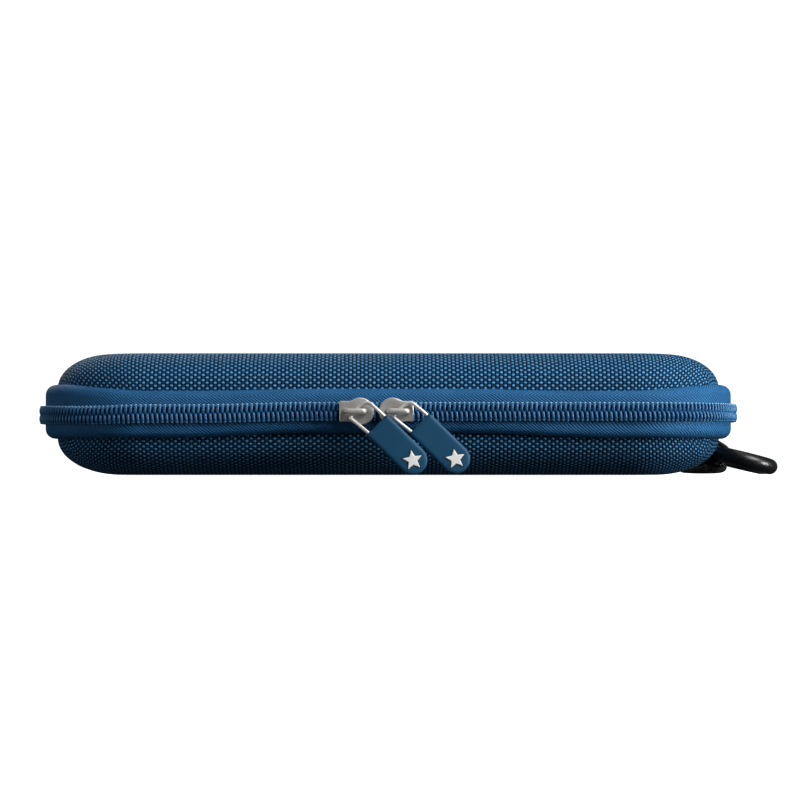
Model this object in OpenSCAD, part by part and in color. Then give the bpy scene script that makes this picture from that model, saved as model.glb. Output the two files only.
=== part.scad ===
// Slim moulded clamshell case with a two-slider zip, a fabric hinge and a clip-on carabiner.
// +X runs along the case, -Y is the front with the sliders, +Z is up.
// The origin is the middle of the face that the case rests on.

/* [Case] */
// Length of the moulded shell, without the zip
shell_length = 214; // [190:1:260]
// Depth of the moulded shell from front to back, without the zip
shell_depth = 97; // [85:1:120]
// Height of the lower half, up to the zip
lower_height = 20; // [18:0.5:26]
// Height of the upper half, above the zip
upper_height = 19; // [17:0.5:26]
// Corner radius seen from above
corner_r = 30; // [26:1:40]
// How far in the lower half's rounded edge reaches
lower_edge_run = 20.5; // [14:0.5:24]
// How far in the upper half's rounded edge reaches
upper_edge_run = 17; // [14:0.5:24]

/* [Layers] */
// Thickness of the outer woven fabric
fabric_t = 1; // [0.6:0.1:1.4]
// Thickness of the moulded foam
foam_t = 4; // [3:0.5:5]
// Thickness of the lining
lining_t = 0.8; // [0.5:0.1:1]
// Thickness of the binding round the inner rim
binding_t = 0.8; // [0.5:0.1:1]

/* [Zip] */
// Height of one zip tape, from its sewn edge to the middle of the zip
tape_height = 8; // [7:0.5:9]
// How far the tape bulges out of the shell's side
tape_bulge = 3.2; // [2.8:0.1:3.4]
// Thickness of the zip tape
tape_t = 0.7; // [0.5:0.1:0.8]
// Half the width of the closed coil
coil_half = 2.9; // [2.6:0.1:3]
// How far the coil stands off its tape
coil_t = 2; // [1.6:0.1:2.1]
// How far round the back corners the zip runs, in degrees
zip_turn = 60; // [40:1:62]

/* [Sliders and pulls] */
// Width of a slider across its nose
slider_width = 8.6; // [8:0.1:9]
// Width of a slider's square tail
slider_tail_width = 6.5; // [6:0.1:7]
// Thickness of the slider's front plate
slider_plate_t = 1.2; // [0.9:0.1:1.3]
// Width of a pull tab
tab_width = 9.2; // [8:0.1:9.3]
// Length of a pull tab
tab_length = 20.2; // [16:0.1:20.3]
// Thickness of a pull tab
tab_t = 2.6; // [2:0.1:2.8]
// How far the pulls hang below level, in degrees
tab_angle = 44.5; // [40:0.5:46]

/* [Carabiner] */
// Thickness of the carabiner's rod
rod_d = 5.2; // [4.6:0.1:5.4]
// Length of the carabiner
carabiner_length = 44; // [40:1:50]
// Width of the webbing loop
web_width = 14; // [10:1:16]
// Thickness of the webbing
web_t = 1.1; // [0.9:0.1:1.2]

/* [Inside] */
// Width of each elastic strap
strap_width = 22; // [15:1:30]
// Distance of each strap from the middle of the case
strap_x = 48; // [35:1:60]
// Thickness of the elastic
elastic_t = 1.1; // [0.8:0.1:1.4]
// Where the mesh pocket's open edge lies, from the middle towards the front
pocket_edge_y = 16; // [0:1:30]

/* [Hidden] */
$fn = 48;

// A half of the case is [height, run of its rounded edge, rise of its rounded edge].
lower_half = [lower_height, lower_edge_run, lower_height - tape_height];
upper_half = [upper_height, upper_edge_run, upper_height - tape_height];
case_height = lower_height + upper_height;
half_x = shell_length / 2;
half_y = shell_depth / 2;
run_x = half_x - corner_r;
run_y = half_y - corner_r;
edge_steps = 9;

// Depths are measured from a half's flat face, and heights off the zip are called off.
fabric_tuck_off = tape_height - 1.6;
rim_out = 1;
rim_off = 0.4;
zip_gap_off = 0.6;
tape_steps = 9;
tape_turn_off = tape_height - tape_bulge;
tape_inner_r = tape_bulge - tape_t;
bead_r = tape_inner_r - 0.1;
bead_turn = acos((fabric_tuck_off - tape_turn_off) / bead_r);
inner_t = fabric_t + foam_t;
lining_rim_off = 1;
binding_off = 7;
strap_rise_off = 7.2;

tape_out = tape_bulge + tape_t;
coil_out = tape_out + coil_t;
coil_chamfer = 0.5;
stop_turn = 7;
stop_gap_turn = 0.5;
hinge_gap_turn = 1;

// Sliders: the plates' distances from the shell's side, and the crown that holds the pull.
plate_gap = 0.3;
plate_in = coil_out + plate_gap;
plate_out = plate_in + slider_plate_t;
back_plate_in = 1.6;
back_plate_out = 2.6;
post_t = 0.8;
post_length = 3;
lip_off = 3;
lip_t = 0.9;
lip_in = tape_out + 0.7;
slider_tail = 6.55;
crown_length = 7.3;
crown_width = 1.8;
crown_under = 1.5;
crown_t = 1.2;
crown_leg = 0.9;
crown_back = 1.6;
slider_left_x = -8.6;
slider_right_x = 1.5;

// Pulls: a bent wire in a moulded tab. Places are [x, z] from the crown's middle.
wire_r = 0.575;
wire_bend_r = 0.6;
wire_out = plate_out + crown_under / 2;
wire_half = 2.65;
left_wire_low = 2.65;
right_wire_low = 2.4;
leg_half = 3.6;
leg_depth = 3;
wire_bend = [4.3, 2.9];
left_tab_at = [6.8, -4.3];
right_tab_at = [6.8, -3.9];
left_tab_out = plate_out + 1.65;
right_tab_out = plate_out + 0.3;
tab_corner_r = 0.8;
star_r = 3.2;
star_inner_r = 1.45;
star_t = 0.5;
star_sink = 0.2;
hang = [cos(tab_angle), -sin(tab_angle)];
across = [sin(tab_angle), cos(tab_angle)];

// Carabiner: an oval of rod on two long runs, which slopes down to the floor from the webbing.
rod_r = rod_d / 2;
spine = [half_x + 2.8, 6.7];
outer_rod = [half_x + 18.9, rod_r + 0.05];
carabiner_y = 12;
oval_span = norm(outer_rod - spine);
oval_r = oval_span / 2;
oval_tilt = atan2(spine[1] - outer_rod[1], outer_rod[0] - spine[0]);
oval_run = carabiner_length - 2 * (oval_r + rod_r);
gate_r = rod_r - 0.1;
gate_end_gap = 0.4;
hinge_inset = 3.6;
hinge_shoulder = 2.4;
tongue_t = 1.8;
tongue_r = rod_r - 0.3;
tongue_root = 1;
tongue_gap = 0.25;
pin_r = 0.8;
pin_clearance = 0.05;
spring_bore_r = 1.5;
spring_length = 8;
spring_r = 1.4;
spring_hole_r = 0.8;
web_clearance = 0.25;
web_root_in = 0.05;

// Mesh pocket in the lid
mesh_t = 0.6;
mesh_off = 1.3;
hem_width = 8;
hem_t = 1.6;

fabric_blue = [0.04, 0.2, 0.38];
tape_blue = [0.06, 0.25, 0.44];
coil_blue = [0.05, 0.24, 0.42];
tab_blue = [0.06, 0.27, 0.42];
lining_grey = [0.12, 0.13, 0.14];
nickel = [0.66, 0.64, 0.6];
webbing_black = [0.03, 0.03, 0.035];

function reversed(v) = [for (i = [len(v) - 1:-1:0]) v[i]];

// The rounded edge of a half, t inside its outer face, from the flat face to the side
function edge_curve(half, t) = [
    for (i = [0:edge_steps])
        let (a = 90 * i / edge_steps)
        [corner_r - half[1] + (half[1] - t) * sin(a), half[2] - (half[2] - t) * cos(a)]
];

// A quarter circle out of the shell's side and round to the zip, from one turn to the next
function tape_bend(half, r, from_turn) = [
    for (i = [0:tape_steps])
        let (a = from_turn + (90 - from_turn) * i / tape_steps)
        [corner_r + tape_t + r * sin(a), half[0] - tape_turn_off - r * cos(a)]
];

// One face of the tape, from its sewn edge to a height off the zip
function tape_face(half, r, end_off) = concat(
    [[corner_r, half[0] - tape_turn_off - r]],
    tape_bend(half, r, 0),
    [[corner_r + tape_t + r, half[0] - end_off]]
);

// Adds the same face turned over on the upper half, where both end on the zip.
function both_faces(r) = concat(
    tape_face(lower_half, r, 0),
    [for (p = reversed(tape_face(upper_half, r, 0))) if (p[1] < upper_height) [p[0], case_height - p[1]]]
);

// A layer's section, from the middle of the case out to its side and up to a depth
function layer(half, outer_t, inner_t, depth) = concat(
    [[0, outer_t]],
    edge_curve(half, outer_t),
    [[corner_r - outer_t, depth], [corner_r - inner_t, depth]],
    reversed(edge_curve(half, inner_t)),
    [[0, inner_t]]
);

// Carries a section along the four straight sides and round the four corners.
module around() {
    for (turn = [0, 180]) {
        rotate([0, 0, turn]) {
            translate([run_x, 0, 0])
                rotate([90, 0, 0])
                    linear_extrude(2 * run_y, center = true) children();
            translate([run_x, run_y, 0]) rotate_extrude(angle = 90) children();
            translate([0, run_y, 0])
                rotate([90, 0, 90])
                    linear_extrude(2 * run_x, center = true) children();
            translate([-run_x, run_y, 0]) rotate([0, 0, 90]) rotate_extrude(angle = 90) children();
        }
    }
}

// Carries a section round the front, both ends and part of the back corners.
module along_zip(turn) {
    rotate([0, 0, 180])
        translate([0, run_y, 0])
            rotate([90, 0, 90])
                linear_extrude(2 * run_x, center = true) children();
    for (side = [0, 1]) {
        mirror([side, 0, 0]) {
            translate([run_x, 0, 0])
                rotate([90, 0, 0])
                    linear_extrude(2 * run_y, center = true) children();
            translate([run_x, -run_y, 0]) rotate([0, 0, -90]) rotate_extrude(angle = 90) children();
            translate([run_x, run_y, 0]) rotate_extrude(angle = turn) children();
        }
    }
}

// The flat slab between the four corners' centres
module middle(low, high) {
    translate([-run_x, -run_y, low]) cube([2 * run_x, 2 * run_y, high - low]);
}

// Turns a half over to make it the upper one.
module on_top() {
    translate([0, 0, case_height]) mirror([0, 0, 1]) children();
}

module half_fabric(half) {
    color(fabric_blue) union() {
        around() polygon(layer(half, 0, fabric_t, half[0] - fabric_tuck_off));
        middle(0, fabric_t);
    }
}

// The moulded foam, with the bead round its rim that the tape is sewn over
module half_shell(half) {
    section = concat(
        [[0, fabric_t]],
        edge_curve(half, fabric_t),
        [[corner_r - fabric_t, half[0] - fabric_tuck_off]],
        tape_bend(half, bead_r, bead_turn),
        [
            [corner_r + rim_out, half[0] - tape_turn_off],
            [corner_r + rim_out, half[0] - rim_off],
            [corner_r - inner_t, half[0] - rim_off]
        ],
        reversed(edge_curve(half, inner_t)),
        [[0, inner_t]]
    );
    color([0.09, 0.1, 0.11]) union() {
        around() polygon(section);
        middle(fabric_t, inner_t);
    }
}

module half_lining(half) {
    color(lining_grey) union() {
        around() polygon(layer(half, inner_t, inner_t + lining_t, half[0] - lining_rim_off));
        middle(inner_t, inner_t + lining_t);
    }
}

module half_binding(half) {
    face = corner_r - inner_t - lining_t;
    color(webbing_black)
        around()
            translate([face - binding_t, half[0] - binding_off])
                square([binding_t, binding_off - rim_off]);
}

module half_tape(half) {
    outer_face = tape_face(half, tape_bulge, zip_gap_off);
    inner_face = tape_face(half, tape_inner_r, zip_gap_off);
    color(tape_blue)
        along_zip(zip_turn + stop_turn) polygon(concat(outer_face, reversed(inner_face)));
}

// One side of the closed coil, as a plain rail of its outer shape
module half_coil(half) {
    low = half[0] - coil_half;
    high = half[0] - zip_gap_off;
    near = corner_r + tape_out;
    far = corner_r + coil_out;
    color(coil_blue)
        along_zip(zip_turn)
            polygon([
                [near, low], [far - coil_chamfer, low], [far, low + coil_chamfer],
                [far, high - coil_chamfer], [far - coil_chamfer, high], [near, high]
            ]);
}

// A sewn patch that closes each end of the coil
module half_zip_stops(half) {
    depth = half[0] - coil_half;
    color(tape_blue)
        for (side = [0, 1])
            mirror([side, 0, 0])
                translate([run_x, run_y, 0])
                    rotate([0, 0, zip_turn + stop_gap_turn])
                        rotate_extrude(angle = stop_turn - stop_gap_turn)
                            translate([corner_r + tape_out, depth])
                                square([coil_t - 0.1, coil_half - zip_gap_off]);
}

// The fabric hinge across the back, which folds along the middle of its outer face
module hinge_strip() {
    outer_face = both_faces(tape_bulge);
    inner_face = both_faces(tape_inner_r);
    start_turn = zip_turn + stop_turn + hinge_gap_turn;
    color(fabric_blue) union() {
        translate([0, run_y, 0])
            rotate([90, 0, 90])
                linear_extrude(2 * run_x, center = true)
                    polygon(concat(outer_face, reversed(inner_face)));
        for (side = [0, 1])
            mirror([side, 0, 0])
                translate([-run_x, run_y, 0])
                    rotate([0, 0, 90])
                        rotate_extrude(angle = 90 - start_turn)
                            polygon(concat(outer_face, reversed(inner_face)));
    }
}

// A plate of a slider: a round nose towards +X and a square tail, lying in the XZ plane
module slider_plate(width, low, high) {
    translate([0, -half_y - low, lower_height])
        rotate([90, 0, 0])
            linear_extrude(high - low)
                union() {
                    circle(d = width);
                    translate([-slider_tail, -slider_tail_width / 2])
                        square([slider_tail, slider_tail_width]);
                }
}

module crown() {
    leg_height = crown_under + crown_t;
    for (end = [-1, 1])
        translate([end * (crown_length - crown_leg) / 2 - crown_leg / 2, 0, -crown_width / 2])
            cube([crown_leg, leg_height, crown_width]);
    translate([-crown_length / 2, 0, -crown_width / 2]) cube([crown_length, crown_t, crown_width]);
}

// facing is 1 for a nose towards +X and -1 for a nose towards -X.
module slider(x, facing) {
    color(nickel)
        translate([x, 0, 0]) mirror([facing > 0 ? 0 : 1, 0, 0]) union() {
            slider_plate(slider_width, plate_in, plate_out);
            slider_plate(slider_width - 1, back_plate_in, back_plate_out);
            translate([0, -half_y - plate_in, lower_height - post_t / 2])
                cube([post_length, plate_in - back_plate_out, post_t]);
            translate([-slider_tail, -half_y - plate_out, lower_height - lip_off - lip_t])
                cube([slider_tail, plate_out - lip_in, lip_t]);
            translate([-crown_back, -half_y - plate_out - crown_under - crown_t, lower_height]) crown();
        }
}

// A round rod between two points
module rod(a, b, r) {
    span = b - a;
    length = norm(span);
    translate(a)
        rotate([0, acos(span[2] / length), atan2(span[1], span[0])])
            cylinder(h = length, r = r, $fn = 24);
}

function crown_x(x, facing) = x - facing * crown_back;

// A place on a pull: x and z from the crown's middle, out from the shell's side
function pull_point(x, facing, place, out) =
    [crown_x(x, facing) + place[0], -half_y - out, lower_height + place[1]];

module pull_wire(x, facing, tab_at, tab_out, low_half) {
    leg_out = tab_out + tab_t / 2;
    deep = leg_depth * hang;
    points = [
        pull_point(x, facing, tab_at + leg_half * across + deep, leg_out),
        pull_point(x, facing, tab_at + leg_half * across, leg_out),
        pull_point(x, facing, wire_bend, (wire_out + leg_out) / 2),
        pull_point(x, facing, wire_half * across, wire_out),
        pull_point(x, facing, -low_half * across, wire_out),
        pull_point(x, facing, tab_at - leg_half * across, leg_out),
        pull_point(x, facing, tab_at - leg_half * across + deep, leg_out)
    ];
    color([0.78, 0.77, 0.75]) union() {
        for (i = [0:len(points) - 2]) rod(points[i], points[i + 1], wire_r);
        for (i = [1:len(points) - 2]) translate(points[i]) sphere(r = wire_bend_r, $fn = 24);
    }
}

// Places a drawing of the tab, which hangs along its own +X, in the XZ plane.
module in_tab(x, facing, tab_at, out) {
    translate(pull_point(x, facing, tab_at, out))
        rotate([0, tab_angle, 0])
            rotate([90, 0, 0])
                children();
}

module tab_outline() {
    half = tab_width / 2;
    union() {
        translate([tab_length - half, 0]) circle(r = half);
        translate([tab_corner_r, -half]) square([tab_length - half - tab_corner_r, tab_width]);
        translate([0, tab_corner_r - half]) square([tab_corner_r, tab_width - 2 * tab_corner_r]);
        for (side = [-1, 1])
            translate([tab_corner_r, side * (half - tab_corner_r)]) circle(r = tab_corner_r);
    }
}

module star_outline(r, inner_r) {
    polygon([for (i = [0:9]) (i % 2 == 0 ? r : inner_r) * [cos(36 * i), sin(36 * i)]]);
}

module pull_tab(x, facing, tab_at, out) {
    leg_out = tab_t / 2;
    color(tab_blue) in_tab(x, facing, tab_at, out)
        difference() {
            linear_extrude(tab_t) tab_outline();
            translate([tab_length - tab_width / 2, 0, tab_t - star_sink])
                linear_extrude(star_t) star_outline(star_r, star_inner_r);
            for (side = [-1, 1])
                translate([-1, side * leg_half, leg_out])
                    rotate([0, 90, 0])
                        cylinder(h = leg_depth + 1, r = wire_r, $fn = 24);
        }
}

module pull_star(x, facing, tab_at, out) {
    color("white") in_tab(x, facing, tab_at, out)
        translate([tab_length - tab_width / 2, 0, tab_t - star_sink])
            linear_extrude(star_t) star_outline(star_r, star_inner_r);
}

// Webbing sewn under the lower tape at the right end, folded round the carabiner's spine
module web_loop() {
    loop_r = rod_r + web_clearance;
    root_z = spine[1] + loop_r / 2;
    color(webbing_black)
        translate([0, carabiner_y, 0])
            rotate([90, 0, 0])
                linear_extrude(web_width, center = true)
                    difference() {
                        union() {
                            translate(spine) circle(r = loop_r + web_t);
                            translate([half_x + web_root_in, root_z])
                                square([2 * web_t, lower_half[2] - 0.1 - root_z]);
                        }
                        translate(spine) circle(r = loop_r);
                    }
}

// Places a drawing of the carabiner, whose spine lies along +Y at its own origin and whose plane is XY.
module in_carabiner() {
    translate([spine[0], carabiner_y, spine[1]]) rotate([0, oval_tilt, 0]) children();
}

module straight_rod(x, from_y, to_y, r) {
    translate([x, from_y, 0]) rotate([-90, 0, 0]) cylinder(h = to_y - from_y, r = r);
}

hinge_y = -oval_run / 2 + hinge_inset;
tip_y = oval_run / 2 - gate_end_gap;

module carabiner_body() {
    color("black") in_carabiner() difference() {
        union() {
            straight_rod(0, -oval_run / 2, oval_run / 2, rod_r);
            for (end = [-1, 1])
                translate([oval_r, end * oval_run / 2, 0])
                    rotate([0, 0, end > 0 ? 0 : 180])
                        rotate_extrude(angle = 180)
                            translate([oval_r, 0]) circle(r = rod_r);
            intersection() {
                straight_rod(oval_span, -oval_run / 2 - tongue_root, hinge_y + hinge_shoulder, tongue_r);
                translate([oval_span - rod_r, -oval_run, -tongue_t / 2])
                    cube([rod_d, 2 * oval_run, tongue_t]);
            }
        }
        translate([oval_span, hinge_y, -rod_d]) cylinder(h = 2 * rod_d, r = pin_r, $fn = 24);
    }
}

module carabiner_gate() {
    slot_t = tongue_t + 2 * tongue_gap;
    spring_y = hinge_y + hinge_shoulder + 2;
    color([0.05, 0.05, 0.055]) in_carabiner() difference() {
        straight_rod(oval_span, hinge_y - hinge_shoulder, tip_y, gate_r);
        translate([oval_span - rod_d, hinge_y - rod_d, -slot_t / 2])
            cube([2 * rod_d, rod_d + hinge_shoulder + 1, slot_t]);
        translate([oval_span, hinge_y, -rod_d])
            cylinder(h = 2 * rod_d, r = pin_r + pin_clearance, $fn = 24);
        straight_rod(oval_span, spring_y, spring_y + spring_length, spring_bore_r);
    }
}

module gate_pin() {
    pin_length = 2 * (gate_r - 0.2);
    color(nickel) in_carabiner()
        translate([oval_span, hinge_y, -pin_length / 2]) cylinder(h = pin_length, r = pin_r, $fn = 24);
}

module gate_spring() {
    spring_y = hinge_y + hinge_shoulder + 2;
    color(nickel) in_carabiner() difference() {
        straight_rod(oval_span, spring_y, spring_y + spring_length, spring_r);
        straight_rod(oval_span, spring_y - 1, spring_y + spring_length + 1, spring_hole_r);
    }
}

// A rounded panel of the inner rim's outline, between two heights
module rim_panel(r, low, high) {
    translate([0, 0, low])
        linear_extrude(high - low)
            union() {
                square([2 * run_x, 2 * (run_y + r)], center = true);
                square([2 * (run_x + r), 2 * run_y], center = true);
                for (x = [-run_x, run_x], y = [-run_y, run_y]) translate([x, y]) circle(r = r);
            }
}

panel_r = corner_r - inner_t - lining_t - binding_t;
mesh_low = lower_height + mesh_off;

module mesh_pocket() {
    color([0.02, 0.02, 0.02]) difference() {
        rim_panel(panel_r, mesh_low, mesh_low + mesh_t);
        translate([-shell_length, -2 * shell_depth - pocket_edge_y + hem_width, mesh_low - 1])
            cube([2 * shell_length, 2 * shell_depth, mesh_t + 2]);
    }
}

module pocket_elastic() {
    low = mesh_low - (hem_t - mesh_t) / 2;
    color(webbing_black)
        translate([-run_x - panel_r + 1, -pocket_edge_y, low])
            cube([2 * (run_x + panel_r - 1), hem_width, hem_t]);
}

// An elastic strap lying across the tray, sewn in under the binding at the front and the back
module strap(x) {
    low = inner_t + lining_t;
    section = layer(lower_half, low, low + elastic_t, lower_height - strap_rise_off);
    color([0.04, 0.04, 0.045]) translate([x, 0, 0]) union() {
        for (turn = [0, 180])
            rotate([0, 0, turn])
                translate([0, run_y, 0])
                    rotate([90, 0, 90])
                        linear_extrude(strap_width, center = true) polygon(section);
        translate([-strap_width / 2, -run_y, low]) cube([strap_width, 2 * run_y, elastic_t]);
    }
}

half_shell(lower_half);  // lower_shell
on_top() half_shell(upper_half);  // upper_shell
half_fabric(lower_half);  // lower_fabric
on_top() half_fabric(upper_half);  // upper_fabric
half_lining(lower_half);  // lower_lining
on_top() half_lining(upper_half);  // upper_lining
half_binding(lower_half);  // lower_binding
on_top() half_binding(upper_half);  // upper_binding
half_tape(lower_half);  // lower_tape
on_top() half_tape(upper_half);  // upper_tape
half_coil(lower_half);  // lower_coil
on_top() half_coil(upper_half);  // upper_coil
half_zip_stops(lower_half);  // lower_zip_stops
on_top() half_zip_stops(upper_half);  // upper_zip_stops
hinge_strip();
slider(slider_left_x, 1);  // slider_left
slider(slider_right_x, -1);  // slider_right
pull_wire(slider_left_x, 1, left_tab_at, left_tab_out, left_wire_low);  // pull_wire_left
pull_wire(slider_right_x, -1, right_tab_at, right_tab_out, right_wire_low);  // pull_wire_right
pull_tab(slider_left_x, 1, left_tab_at, left_tab_out);  // pull_tab_left
pull_tab(slider_right_x, -1, right_tab_at, right_tab_out);  // pull_tab_right
pull_star(slider_left_x, 1, left_tab_at, left_tab_out);  // pull_star_left
pull_star(slider_right_x, -1, right_tab_at, right_tab_out);  // pull_star_right
web_loop();
carabiner_body();
carabiner_gate();
gate_pin();
gate_spring();
mesh_pocket();
pocket_elastic();
strap(-strap_x);  // strap_left
strap(strap_x);  // strap_right
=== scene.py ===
import bpy
import bmesh
import math
import numpy as np
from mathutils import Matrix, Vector


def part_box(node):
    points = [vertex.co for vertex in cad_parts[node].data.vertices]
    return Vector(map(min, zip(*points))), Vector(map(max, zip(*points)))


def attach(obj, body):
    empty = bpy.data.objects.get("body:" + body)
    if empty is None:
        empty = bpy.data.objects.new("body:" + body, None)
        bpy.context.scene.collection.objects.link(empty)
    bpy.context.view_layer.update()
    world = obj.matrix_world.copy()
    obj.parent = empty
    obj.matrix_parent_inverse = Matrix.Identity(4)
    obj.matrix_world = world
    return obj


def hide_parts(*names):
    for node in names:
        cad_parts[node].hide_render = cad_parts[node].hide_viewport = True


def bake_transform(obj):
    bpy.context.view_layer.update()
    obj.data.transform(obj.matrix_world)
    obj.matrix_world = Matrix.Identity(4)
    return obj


print("Loading the packed case")
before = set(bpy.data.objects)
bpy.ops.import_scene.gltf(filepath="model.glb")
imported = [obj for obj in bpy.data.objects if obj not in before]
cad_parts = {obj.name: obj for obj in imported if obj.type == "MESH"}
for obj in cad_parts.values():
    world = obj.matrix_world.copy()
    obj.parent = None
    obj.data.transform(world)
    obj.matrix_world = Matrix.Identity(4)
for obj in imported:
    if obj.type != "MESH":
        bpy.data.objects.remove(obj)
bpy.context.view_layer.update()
scene = bpy.context.scene
mm = 0.001


def boxOf(node):
    # A CAD node's lowest and highest corners, in millimetres
    return [np.array(corner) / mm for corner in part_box(node)]


# Sizes that every piece shares, in millimetres
shellHigh = boxOf("lower_fabric")[1]
case = {
    "cornerR": 30.0,
    "halfX": shellHigh[0],
    "halfY": shellHigh[1],
    "topZ": boxOf("upper_fabric")[1][2],
    "tapeHeight": 8.0,
    "tapeBulge": 3.2,
    "tapeT": 0.7,
    "tapeGap": 0.6,
    "tapeTuck": 0.25,
    "coilT": 2.0,
    "zipTurn": 60.0,
    "stopTurn": 7.0,
}
case["zipZ"] = boxOf("lower_tape")[1][2] + case["tapeGap"]
cornerR = case["cornerR"]
runX = case["halfX"] - cornerR
runY = case["halfY"] - cornerR
tapeOut = case["tapeBulge"] + case["tapeT"]
coilOut = tapeOut + case["coilT"]
medialX = runX - runY
upward = np.array([0, 0, 1.0])
# The way that each half lies from the zip, and its tape's sewn edge: a height off the zip, and the steps of
# (size, from, to) that the sewing takes along the rim, at distances from the middle of the front
halves = {
    "lower": {
        "height": case["zipZ"], "run": 20.5, "body": "base", "way": -1,
        "edge": 6.8, "edgeSteps": [(1.5, 24, 70)],
    },
    "upper": {
        "height": case["topZ"] - case["zipZ"], "run": 17.0, "body": "lid", "way": 1,
        "edge": 7.2, "edgeSteps": [(-0.6, 20, 60), (2.4, 74, 116)],
    },
}
for half in halves.values():
    half["rise"] = half["height"] - case["tapeHeight"]
# How the closed zip hangs off level: low on the left of the front, lower round that corner, less low behind
sagSteps = [(-0.7, 22, 62), (-0.4, 76, 92), (0.45, 96, 128)]
stopCounts = {"middle": 15, "front": 6, "corner": 26, "side": 9}


# Curves and grids
def step(x, low, high):
    # A smooth step from 0 at low to 1 at high: 3t^2 - 2t^3
    t = np.clip((x - low) / (high - low), 0, 1)
    return t * t * (3 - 2 * t)


def stepped(start, steps, distance):
    # A height that changes by each step's size between its two distances
    for size, low, high in steps:
        start = start + size * step(distance, low, high)
    return start


def tapeEdge(stops, half):
    return stepped(half["edge"], half["edgeSteps"], np.abs(stops))


def zipSag(stops):
    return stepped(0, sagSteps, -stops)


def squarish(wave, power):
    # Squares off a sine or a cosine: its size to a power below 1, with its own sign
    return np.sign(wave) * np.abs(wave) ** power


def ovalSection(halfWide, halfHigh, widePower, highPower, steps=33):
    # A closed section: the squared-off cosine times half the width, the squared-off sine times half the
    # height
    a = np.linspace(0, 2 * np.pi, steps)
    return halfWide * squarish(np.cos(a), widePower), halfHigh * squarish(np.sin(a), highPower)


def edgeCurve(half, inset, steps=18):
    # A quarter ellipse from the flat face to the side: run times the sine out, rise less rise times the
    # cosine up
    a = np.linspace(0, np.pi / 2, steps)
    u = cornerR - half["run"] + (half["run"] - inset) * np.sin(a)
    return np.stack([u, half["rise"] - (half["rise"] - inset) * np.cos(a)], 1)


def placed(half, section):
    # Turns a section of (out, depth) into (out, height)
    section = np.array(section, float)
    if half["way"] > 0:
        section[..., 1] = case["topZ"] - section[..., 1]
    return section


def lengthAlong(section):
    # Distance walked along a section's points
    return np.concatenate([[0], np.cumsum(np.linalg.norm(np.diff(section, axis=0), axis=1))])


def quarterAt(r):
    return r * math.pi / 2


def rimAt(distance, r):
    # Walks the rounded rectangle of the corners' centres, both ways from the middle of the front, where r is
    # the radius that the walk is measured at. Gives the place on the centre line and the way out of the case.
    side = np.where(distance < 0, -1.0, 1.0)
    d = np.abs(distance)
    q = quarterAt(r)
    turned = np.clip((d - runX) / q, 0, 1) + np.clip((d - runX - q - 2 * runY) / q, 0, 1)
    x = np.clip(d, 0, runX) - np.clip(d - runX - 2 * q - 2 * runY, 0, runX)
    y = -runY + np.clip(d - runX - q, 0, 2 * runY)
    angle = (turned - 1) * math.pi / 2
    return side * x, y, side * np.cos(angle), np.sin(angle)


def halfRim(r):
    return 2 * runX + 2 * runY + 2 * quarterAt(r)


def zipEnd(r, turn):
    # Distance from the middle of the front to a turn on the back corner
    return runX + 2 * runY + quarterAt(r) * (1 + turn / 90)


def rimStops(r, end, fine=1.0):
    # Places to put a section, close together on the corners and wider on the straights
    q = quarterAt(r)
    count = {part: int(count * fine) for part, count in stopCounts.items()}
    middle = np.linspace(0, medialX, count["middle"])
    straight = np.concatenate([middle, np.linspace(medialX, runX, count["front"])[1:]])
    corner = np.linspace(0, q, count["corner"])
    side = np.linspace(0, 2 * runY, count["side"])
    walk = np.concatenate([
        straight, runX + corner[1:], runX + q + side[1:], runX + q + 2 * runY + corner[1:],
        runX + 2 * q + 2 * runY + (runX - straight[::-1])[1:],
    ])
    walk = np.append(walk[walk < end - 1e-6], end)
    return np.concatenate([-walk[:0:-1], walk])


def carried(section, stops, r, middle=False, wave=None):
    # Carries a section of (out, height), or one section for each stop, along the rim: centre + way out * out.
    # With middle set, columns on the centre line between the corners close the flat face.
    x, y, nx, ny = rimAt(stops, r)
    section = np.broadcast_to(section, (len(stops),) + section.shape[-2:])
    u = section[..., 0] + (0 if wave is None else wave(stops)[:, None])
    z = section[..., 1]
    grid = np.stack([x[:, None] + nx[:, None] * u, y[:, None] + ny[:, None] * u, z], 2)
    if middle:
        flat = np.stack([np.clip(x, -medialX, medialX), np.zeros_like(x)], 1)
        first = np.concatenate([flat, z[:, :1]], 1)[:, None]
        last = np.concatenate([flat, z[:, -1:]], 1)[:, None]
        grid = np.concatenate([first, grid, last], 1)
    return grid


def clothMap(section, stops, r, turnAt=0.64, soft=0.07):
    # Lays the cloth out flat: the straight sides unfold square. Round a corner the rows follow the rim until
    # turnAt of the corner is passed, where the other yarns take over. Each coordinate is a soft lesser of the
    # angle's share a and 1: 1 - soft * ln(1 + e^((1 - a) / soft)).
    x, y, nx, ny = rimAt(stops, r)
    walked = section[0, 0] + lengthAlong(section)
    share = np.arctan2(np.abs(nx), np.abs(ny)) / (np.pi / 2)
    a = np.interp(share, [0, turnAt, 1], [0, 1, 2])
    along = 1 - soft * np.log1p(np.exp((1 - a) / soft))
    over = 1 - soft * np.log1p(np.exp((a - 1) / soft))
    uv = np.stack([x[:, None] + (np.sign(nx) * along)[:, None] * walked,
                   y[:, None] + (np.sign(ny) * over)[:, None] * walked], 2)
    flat = np.stack([np.clip(x, -medialX, medialX), np.zeros_like(x)], 1)[:, None]
    return np.concatenate([flat, uv, flat], 1)


def stripMap(section, stops):
    # Length along the strip and distance walked across it
    across = lengthAlong(section if section.ndim == 2 else section[len(stops) // 2])
    return np.stack(np.broadcast_arrays(stops[:, None], across[None, :]), 2)


def ringed(section):
    # Closes a section by repeating its first point
    return np.concatenate([section, section[..., :1, :]], -2)


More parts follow.
